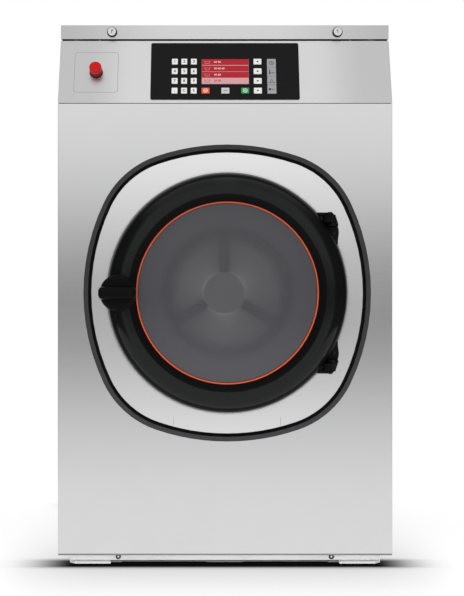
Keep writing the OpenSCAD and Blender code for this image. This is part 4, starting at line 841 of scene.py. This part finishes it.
glass = {"paneR": 187.9, "paneLow": 46.3, "paneEdge": 50, "crown": 4, "bowlR": 150, "slope": 0.26,
         "bowlSeat": 3, "bowlEnd": -46, "flangeR": 186, "flangeZ": 46, "thick": 8}
paneR, paneLow, paneEdge, crown, bowlR, slope, bowlSeat, end, flangeR, flangeZ, thick = glass.values()
paneShape = [(0, paneLow), (paneR - 0.5, paneLow), (paneR, paneLow + 0.5), (paneR, paneEdge - 0.6),
             (paneR - 0.6, paneEdge)]
paneShape += [(paneR * (1 - i / 8), paneEdge + crown * (1 - (1 - i / 8) ** 2)) for i in range(1, 9)]
addPiece("outerPane", lathe(paneShape, 128), "door", "paneGlass", ("door_glass",), 40)
atSeat, atEnd = bowlR + slope * (seatZ - bowlSeat), bowlR + slope * (end - bowlSeat)
bowl = rounded([(0, end), (atEnd - 4, end), (atEnd + 1.5, end + 12), (atSeat, seatZ), (flangeR, seatZ),
                (flangeR, flangeZ), (atSeat - thick, flangeZ), (atEnd - thick + 1, end + 20),
                (atEnd - thick - 6, end + thick), (0, end + thick)], 7, 5)
addPiece("glassBowl", lathe(bowl, 96), "door", "bowlGlass", (), 40)

hinge = {"x": 222.5, "out": 39.5, "knuckle": 9, "pin": 5, "low": 140.5, "earLow": 147.3, "earHigh": 163.7,
         "top": 170.3, "plate": 12, "screwX": 226, "screwY": (110, 127)}
knuckles = {"from": 140, "to": 171, "thinFrom": 156, "beyond": 12.5, "thick": 9.5, "thin": 4.5,
            "black": 233}
doorFrame = dressed("door_frame", "frameBlack", 0)
for vert in doorFrame.data.vertices:  # the knuckles are drawn in on their outer side
    local = onAxis.inverted() @ vert.co / mm
    sideways, ahead = local.x - hinge["x"], local.z - hinge["out"]
    reach = math.hypot(sideways, ahead)
    if knuckles["from"] < abs(local.y) < knuckles["to"] and sideways > 0.5 and reach > knuckles["beyond"]:
        drawn = knuckles["thick" if abs(local.y) < knuckles["thinFrom"] else "thin"]
        local.x, local.z = hinge["x"] + sideways * drawn / reach, hinge["out"] + ahead * drawn / reach
        vert.co = onAxis @ (local * mm)
paintFaces(doorFrame, "bracketBlack", lambda face: fromAxis(face.center) > knuckles["black"])

# Turning knob: stepped disc, grip bar and the latch behind
placeKnob = onAxis @ shift(knob["x"])
discShape = rounded([(0, padZ + 0.3), (disc - 1, padZ + 0.3), (disc, padZ + 1.5), (disc, discTop - 3),
                     (disc - 2.4, discTop - 0.4), (disc - 5, discTop), (0, discTop)], 1.2, 3)
knobMesh = lathe(discShape, 72, place=placeKnob)
grip = cube((knob["gripLength"], knob["gripWidth"], gripTop - discTop + 1))
upright = [e for e in grip.edges if abs(e.verts[0].co.z - e.verts[1].co.z) > 1e-6]
breakEdges(grip, upright, knob["gripCorner"], 8)
for vert in grip.verts:  # the grip narrows towards its top
    if vert.co.z > 0:
        vert.co.y *= knob["narrowY"]
        vert.co.x *= knob["narrowX"]
rim = [e for e in grip.edges if min(v.co.z for v in e.verts) > 0 and len(e.link_faces) == 2
       and e.calc_face_angle(0) > 0.5]
breakEdges(grip, rim, knob["gripRim"], 6)
grip.transform(placeKnob @ shift(knob["gripShift"], 0, (discTop + gripTop - 1) / 2))
joinMesh(knobMesh, grip)
addPrism(knobMesh, 32, knob["spindle"], -0.5, padZ + 1, place=placeKnob)
addPrism(knobMesh, 24, knob["neck"], camZ + 1, 0.5, place=placeKnob)
addBox(knobMesh, knob["cam"], (0, 0, camZ + knob["cam"][2] / 2), placeKnob, 1.2)
addPiece("doorKnob", knobMesh, "door_knob", "knobBlack", ("door_knob",), 35)

# On the tub front: a painted shade ring in the round seat beside the door's ring, and two fine upright lines
# under the door
plateMarks = {"seat": (247, 257.6, -1.4, -0.8), "lineX": 114.2, "lineY": -273.6, "line": (0.9, 17)}
addPiece("seatShadeRing", lathe(oblong(*plateMarks["seat"]), 128, True), "cabinet", "seatShade")
lines = [("bar", side * plateMarks["lineX"], plateMarks["lineY"], *plateMarks["line"]) for side in (-1, 1)]
drawMarks("plateLines", lines, onAxis, "cabinet", "lineGrey", -0.02, 0.05)

# Seal in the tub's neck, with two grooves before its lip
seal = [(174.9, -16), (174.9, 0), (171, 0.5), (169, -1.2), (167, 0.7), (163, 1), (161, -0.8), (159, 1.2),
        (153, 2.3), (150.3, 2.2), (150.3, 0.5), (157, -5), (159, -16)]
addPiece("doorSeal", lathe(rounded(seal, 0.9, 2, True), 128, True), "cabinet", "sealRubber",
         ("door_gasket",))

# Hinge brackets: chamfered plate and ears, and a flange that runs in under the ring's rim
low, earLow, earHigh, top = pick(hinge, "low", "earLow", "earHigh", "top")
slabs = (([(210, 102), (235, 102), (235.5, 114), (237.3, 127), (236.6, 135), (233, 150), (230, 159),
           (220, top), (210, top)], hinge["plate"], 1.2),
         ([(185.9, 147.2), (196, 133.3), (205, 118.9), (213.9, 102), (216, 102), (211, 147.2)], 9, 0.6),
         ([(190.5, earHigh), (225, earHigh), (219.7, top), (190.5, top)], 24, 1),
         ([(212, low), (233, low), (233, earLow), (212, earLow)], hinge["out"], 1),
         ([(212, earHigh), (225, earHigh), (219.7, top), (212, top)], hinge["out"], 1))
brackets, screws, recesses = bmesh.new(), bmesh.new(), bmesh.new()
screwHead = rounded([(0, -0.4), (4.4, -0.4), (4.4, 2.6), (3.6, 3.4), (0, 3.4)], 0.4, 2)
for side in (1, -1):
    upper = onAxis @ Matrix.Diagonal((1, side, 1, 1))
    made = bmesh.new()
    for outline, high, edge in slabs:
        addSlab(made, outline, -0.2, high, upper, edge)
    along = upper @ shift(hinge["x"], 0, hinge["out"]) @ spun(-90, "X")
    addPrism(made, 32, hinge["knuckle"], low, earLow, place=along)
    addPrism(made, 24, hinge["pin"] - 0.3, low, earHigh + 0.6, place=along)
    if side < 0:
        bmesh.ops.reverse_faces(made, faces=made.faces)
    joinMesh(brackets, made)
    for y in hinge["screwY"]:
        spot = onAxis @ shift(hinge["screwX"], side * y, hinge["plate"])
        lathe(screwHead, 32, place=spot, bm=screws)
        addPrism(recesses, 6, 2.2, 3.2, 3.5, place=spot)
addPiece("hingeBrackets", brackets, "cabinet", "bracketBlack", ("hinge_brackets",),
         outwards=False)
addPiece("bracketScrews", screws, "cabinet", "blackPlastic")
addPiece("bracketRecesses", recesses, "cabinet", "holeDark")
dressed("door_lock", "blackPlastic")
print("door dressed")


# Drum with its pressed back

drum = {"front": -60, "back": -510, "radius": 275, "wall": 2, "mouth": 166, "corner": 10,
        "hubR": 52, "hubHigh": 14, "dishFoot": 4.5, "dishHigh": 16, "dishIn": 26, "spokeWide": 25,
        "spokeEnd": 236, "spokeHigh": 3.2, "holeR": 2.4, "rows": 13, "rowInset": 26, "around": 54,
        "ribs": 3, "ribHalf": 9}
(front, rear, out, wall, mouth, corner, hubR, hubHigh, foot, dishHigh, dishIn, spokeWide,
 spokeEnd, spokeHigh, holeR, rowCount, inset, around, ribs, ribHalf) = drum.values()
outside = rounded([(mouth, front + 12), (mouth + wall, front + 12), (mouth + wall, front), (out, front),
                   (out, rear), (0, rear)], corner, 5)
within = rounded([(0, rear + hubHigh), (hubR, rear + hubHigh), (hubR + 5, rear + foot), (150, rear + 7.5),
                  (out - dishIn, rear + dishHigh), (out - wall, rear + dishHigh + 16),
                  (out - wall, front - wall), (mouth, front - wall), (mouth, front + 12)], 6, 4)
shell = addPiece("drumShell", lathe(within, 96, bm=lathe(outside, 96)), "drum", "drumSteel",
                 ("drum_shell",), 40)
backLimit = (cabinet["plateY"] - rear - 30) * mm
# The pressed back, and the flat hub in it, take the glowing steels of painted light
for look, limit in (("drumBack", out - 4), ("hubSteel", hubR - 1)):
    paintFaces(shell, look, lambda face: face.center.y > backLimit and fromAxis(face.center) < limit)
# The spokes take the darker glowing steel, a painted shade
spokes = bmesh.new()
for i in range(ribs):
    rib = bmesh.new()
    bmesh.ops.create_grid(rib, x_segments=14, y_segments=6, size=0.5)
    for vert in rib.verts:  # a long low swelling that follows the dish
        share, side = vert.co.x + 0.5, vert.co.y * 2
        along = hubR + 1 + share * (spokeEnd - hubR - 1)
        base = foot + (along - hubR) / (out - dishIn - hubR) * (dishHigh - foot)
        swell = spokeHigh * (1 - side ** 4) * min(1, (1 - share) * 8)
        aside = side * spokeWide / 2 * (1 + 0.3 * share)
        vert.co = Vector((along, aside, rear + base + swell + 0.5)) * mm
    rib.transform(onAxis @ spun(90 + 360 / ribs * i))
    joinMesh(spokes, rib)
addPiece("drumSpokes", spokes, "drum", "spokeSteel", (), 60, outwards=False)
dressed("drum_lifters", "drumSteel", 1.2)
dressed("drum_spider", "spiderCast", 2)
dressed("drum_pulley", "castGrey", 1)
holes = bmesh.new()
for row in range(rowCount):
    z = front - inset - row * (front - rear - 2 * inset) / (rowCount - 1)
    for i in range(around):
        angle = (i + 0.5 * (row % 2)) * 360 / around
        if abs((angle + 30) % 120 - 60) >= ribHalf:  # none under a lifting rib
            addPrism(holes, 8, holeR, -0.3, 0.25,
                     place=onAxis @ spun(angle) @ shift(out - wall - 0.1, 0, z) @ spun(-90, "Y"))
addPiece("drumHoles", holes, "drum", "holeDark")
print("drum dressed")


# What is inside and behind

for node, look, slot, width in (
        ("tub_shell", "tubSteel", "tub_steel", 0.8), ("tub_cradle", "greyPaint", "grey_paint", 1),
        ("bearing_housing", "castGrey", "cast_grey", 1.5),
        ("shaft_bearings", "bearingSteel", "bearing_steel", 0.4),
        ("drive_motor", "motorPaint", "motor_paint", 1.5), ("motor_pulley", "castGrey", "cast_grey", 0.6),
        ("drive_belt", "beltRubber", "belt_rubber", 0.5), ("drain_valve", "greyPlastic", "grey_plastic", 0.8),
        ("soap_box", "whitePlastic", "white_plastic", 0.6), ("soap_flap", "steelLid", "stainless", 0.6),
        ("inlet_valves", "whitePlastic", "white_plastic", 0.8),
        ("inverter_box", "greyPaint", "grey_paint", 0.6)):
    dressed(node, look, width)

# Floor plates that show a little ahead of the plinth, each with its outer corner cut
feet = {"outX": 327, "inX": 245, "stepX": 222, "frontY": -349, "backY": -262, "cut": 11,
        "step": 14, "stepDown": 1.2, "thick": 3.9}
outX, inX, stepX, frontY, backY, cut, step, down, thick = feet.values()
plates = bmesh.new()
for sx, sy in ((-1, 1), (-1, -1), (1, 1), (1, -1)):
    corner = Matrix.Diagonal((sx, sy, 1, 1))
    addSlab(plates, [(inX, frontY), (outX - cut, frontY), (outX, frontY + cut), (outX, backY), (inX, backY)],
            0.1, thick, corner)
    addSlab(plates, [(stepX, frontY + step), (inX + 1, frontY + step), (inX + 1, backY), (stepX, backY)],
            0.1, thick - down, corner)
footPlates = soften(addPiece("footPlates", plates, "cabinet", "basePaint"), 0.5)
# Painted shade on top, beside the plinth, and on the lower step
paintFaces(footPlates, "footShade", lambda face: (face.normal.z > 0.9
                                                  or abs(face.center.x) < (feet["inX"] - 1) * mm))

# Plinth bolts: dark washer and bright socket head; pan-head screws hold the rear panel
fixings = {"boltX": 229.5, "boltZ": 12, "plinthY": -332.5, "screwX": 345, "screwZ": (86, 576.1, 1066.2)}
washer = rounded([(2.7, 0), (5.6, 0), (5.6, 2.4), (4.8, 3), (2.7, 3)], 0.3, 2, True)
socketHead = rounded([(0, -20), (2.6, -20), (2.6, 2), (2.2, 2.4), (0, 2.4)], 0.3, 2)
panHead = rounded([(0, -0.3), (5, -0.3), (5, 1.2), (3.2, 2.7), (0, 3)], 0.5, 3)
washers, heads, sockets = bmesh.new(), bmesh.new(), bmesh.new()
for side in (-1, 1):
    spot = facing("front", side * fixings["boltX"], fixings["plinthY"], fixings["boltZ"])
    lathe(washer, 32, True, spot, washers)
    lathe(socketHead, 32, place=spot, bm=heads)
    for z in fixings["screwZ"]:
        spot = facing("rear", side * fixings["screwX"], cabinet["rearY"], z)
        lathe(panHead, 32, place=spot, bm=heads)
        for spin in (45, 135):
            addBox(sockets, (4.6, 1, 0.3), (0, 0, 2.9), spot, spin=spin)

# Threads of the water inlets, and the nut of the cord's gland
inlet = {"z": 1060.2, "x": (-260, -180, -100), "threadR": 13, "crestR": 14.1, "pitch": 2,
         "turns": 7, "from": 4}
z, inletX, threadR, crestR, pitch, turns, low = inlet.values()
ridge = [(threadR - 0.6, low)]
for s in [low + i * pitch for i in range(turns)]:
    ridge += [(threadR, s), (crestR, s + 0.7), (crestR, s + 1.1)]
ridge += [(threadR, low + turns * pitch), (threadR - 0.6, low + turns * pitch)]
threads = bmesh.new()
for x in inletX:
    lathe(ridge, 48, True, facing("rear", x, cabinet["rearY"], z), threads)
addPiece("inletThreads", threads, "cabinet", "whitePlastic")
gland = {"x": 300, "z": 200, "hole": 10.4, "nutR": 19, "low": 1, "high": 10}
x, z, hole, nutR, low, high = gland.values()
nut = rounded([(hole, low), (nutR, low), (nutR, high - 1.6), (nutR - 2, high), (hole, high)], 0.6, 2, True)
addPiece("glandNut", lathe(nut, 6, True, facing("rear", x, cabinet["rearY"], z)), "cabinet", "greyPlastic")
addPiece("fixingWashers", washers, "cabinet", "blackPlastic")
addPiece("fixingHeads", heads, "cabinet", "boltSteel", ("panel_bolts",))
addPiece("fixingSockets", sockets, "cabinet", "holeDark")
print("inner parts and fixings dressed")


# Studio: pale floor, soft light, white surroundings

studio = {"floorR": 1.9, "floorTone": 0.8, "toneSeen": 0.4, "floorGlow": 0.705, "floorMirror": 0.95,
          "plateau": 0.97, "valley": 0.75, "valleyAt": -0.7, "valleyWidth": 4.7, "ambient": 0.80,
          "sideDark": 0.95, "sides": (0.42, 0.78), "sidesUpTo": (35, 62),
          "topFall": 0.24, "topFrom": (34, 46), "topAside": (0.03, 0.15),
          "keyWatts": 15, "fillWatts": 8.5, "plinthWatts": 3.3}
bm = bmesh.new()
bmesh.ops.create_circle(bm, cap_ends=True, segments=96, radius=studio["floorR"])
floorMesh = bpy.data.meshes.new("studioFloor")
bm.to_mesh(floorMesh)
bm.free()
floor = addObject("studioFloor", floorMesh)

# Painted contact shadow on the floor: black under the machine, a soft fall ahead of it
contact = {"halfX": 0.323, "halfY": 0.371, "softX": 0.077, "softY": 0.017, "dark": 0.994,
           "wide": 0.33, "wideX": 0.442, "wideY": 0.24, "wideFall": 8, "fromY": 0.290, "fullY": 0.327}
shadeGroup, given, result = newGroup("contactShade", {"Vector": noPoint}, "Mask")
x, y, z = split(given["Vector"])
absX, absY = x.step("ABSOLUTE"), y.step("ABSOLUTE")
nearX = (absX - contact["halfX"]).step("MAXIMUM", 0) / contact["softX"]
nearY = (absY - contact["halfY"]).step("MAXIMUM", 0) / contact["softY"]
tight = decay(nearX * nearX + nearY * nearY) * contact["dark"]
farX = (absX / contact["wideX"]) ** contact["wideFall"]
farY = (y + contact["halfY"]).step("ABSOLUTE") / contact["wideY"]
wide = decay(farX + farY) * contact["wide"]
ends = smoothed(absY, contact["fromY"], contact["fullY"])
fill(result, {"Mask": (1 - tight * ends) * (1 - wide)})

floorLook = bpy.data.materials.new("paleFloor")
tree = emptyTree(floorLook)
lit = take(grouped(tree, shadeGroup), "Mask")
seen, mirrored = rays(tree, "Camera"), rays(tree, "Glossy", "Transmission")
tone = (lit - mirrored) * (studio["floorTone"] - seen * (studio["floorTone"] - studio["toneSeen"]))
matt = addNode(tree, "ShaderNodeBsdfDiffuse", {"Color": grey(tone.step("MAXIMUM", 0))})
glow = addNode(tree, "ShaderNodeEmission", {
    "Strength": seen * studio["floorGlow"] * lit + mirrored * studio["floorMirror"]})
both = addNode(tree, "ShaderNodeAddShader", {0: take(matt), 1: take(glow)})
addNode(tree, "ShaderNodeOutputMaterial", {"Surface": take(both)})
floorMesh.materials.append(floorLook)

# Surroundings: white to the camera; in reflections dark along the horizon and at both sides
world = bpy.data.worlds.new("studioWorld")
bpy.context.scene.world = world
tree = emptyTree(world)
x, y, z = split(take(addNode(tree, "ShaderNodeTexCoord"), "Generated"))
aside, rise = x.step("ABSOLUTE"), z.step("ARCSINE") * (180 / math.pi)
off = (rise - studio["valleyAt"]) / studio["valleyWidth"]
atSides = smoothed(aside, *studio["sides"]) * (1 - smoothed(rise, *studio["sidesUpTo"]))
aloft = smoothed(rise, *studio["topFrom"]) * smoothed(aside, *studio["topAside"])
shine = (1 - decay(off * off) * studio["valley"]) * studio["plateau"]
shine *= (1 - atSides * studio["sideDark"]) * (1 - aloft * studio["topFall"])
seen, mirrored = rays(tree, "Camera"), rays(tree, "Glossy", "Transmission")
lit = mirrored * shine + (1 - mirrored) * studio["ambient"]
back = addNode(tree, "ShaderNodeBackground", {"Color": white, "Strength": seen + (1 - seen) * lit})
addNode(tree, "ShaderNodeOutputWorld", {"Surface": take(back)})


def addLamp(name, watts, size, at, target):
    lamp = bpy.data.lights.new(name, "AREA")
    lamp.energy, lamp.size = watts, size
    made = addObject(name, lamp)
    made.location = at
    made.rotation_euler = (Vector(target) - Vector(at)).to_track_quat("-Z", "Y").to_euler()
    made.visible_glossy = False  # the surroundings give the reflections
    return made


addLamp("keySoftbox", studio["keyWatts"], 2.2, (-1.6, -2.6, 2.6), (0, 0, 0.6))
addLamp("fillSoftbox", studio["fillWatts"], 2.4, (2.4, -1.2, 2.2), (0, 0, 0.6))
plinthLamp = addLamp("plinthStrip", studio["plinthWatts"], 0.9, (0, -0.98, 0.06), (0, -0.33, 0.014))
plinthLamp.data.shape, plinthLamp.data.size_y = "RECTANGLE", 0.06
plinthLamp.visible_camera = False

camera = {"at": (-0.032, -2.8725, 0.580), "lens": 71.14, "shiftX": 22 / 596, "shiftY": -5 / 596}
lens = bpy.data.cameras.new("photoCamera")
lens.lens, lens.shift_x, lens.shift_y = pick(camera, "lens", "shiftX", "shiftY")
lens.sensor_width = 36
lens.clip_start, lens.clip_end = 0.05, 100
eye = addObject("photoCamera", lens)
eye.location = camera["at"]
eye.rotation_euler = (turn(90), 0, 0)
bpy.context.scene.camera = eye
bpy.context.scene.view_settings.view_transform = "Standard"
print("studio ready")
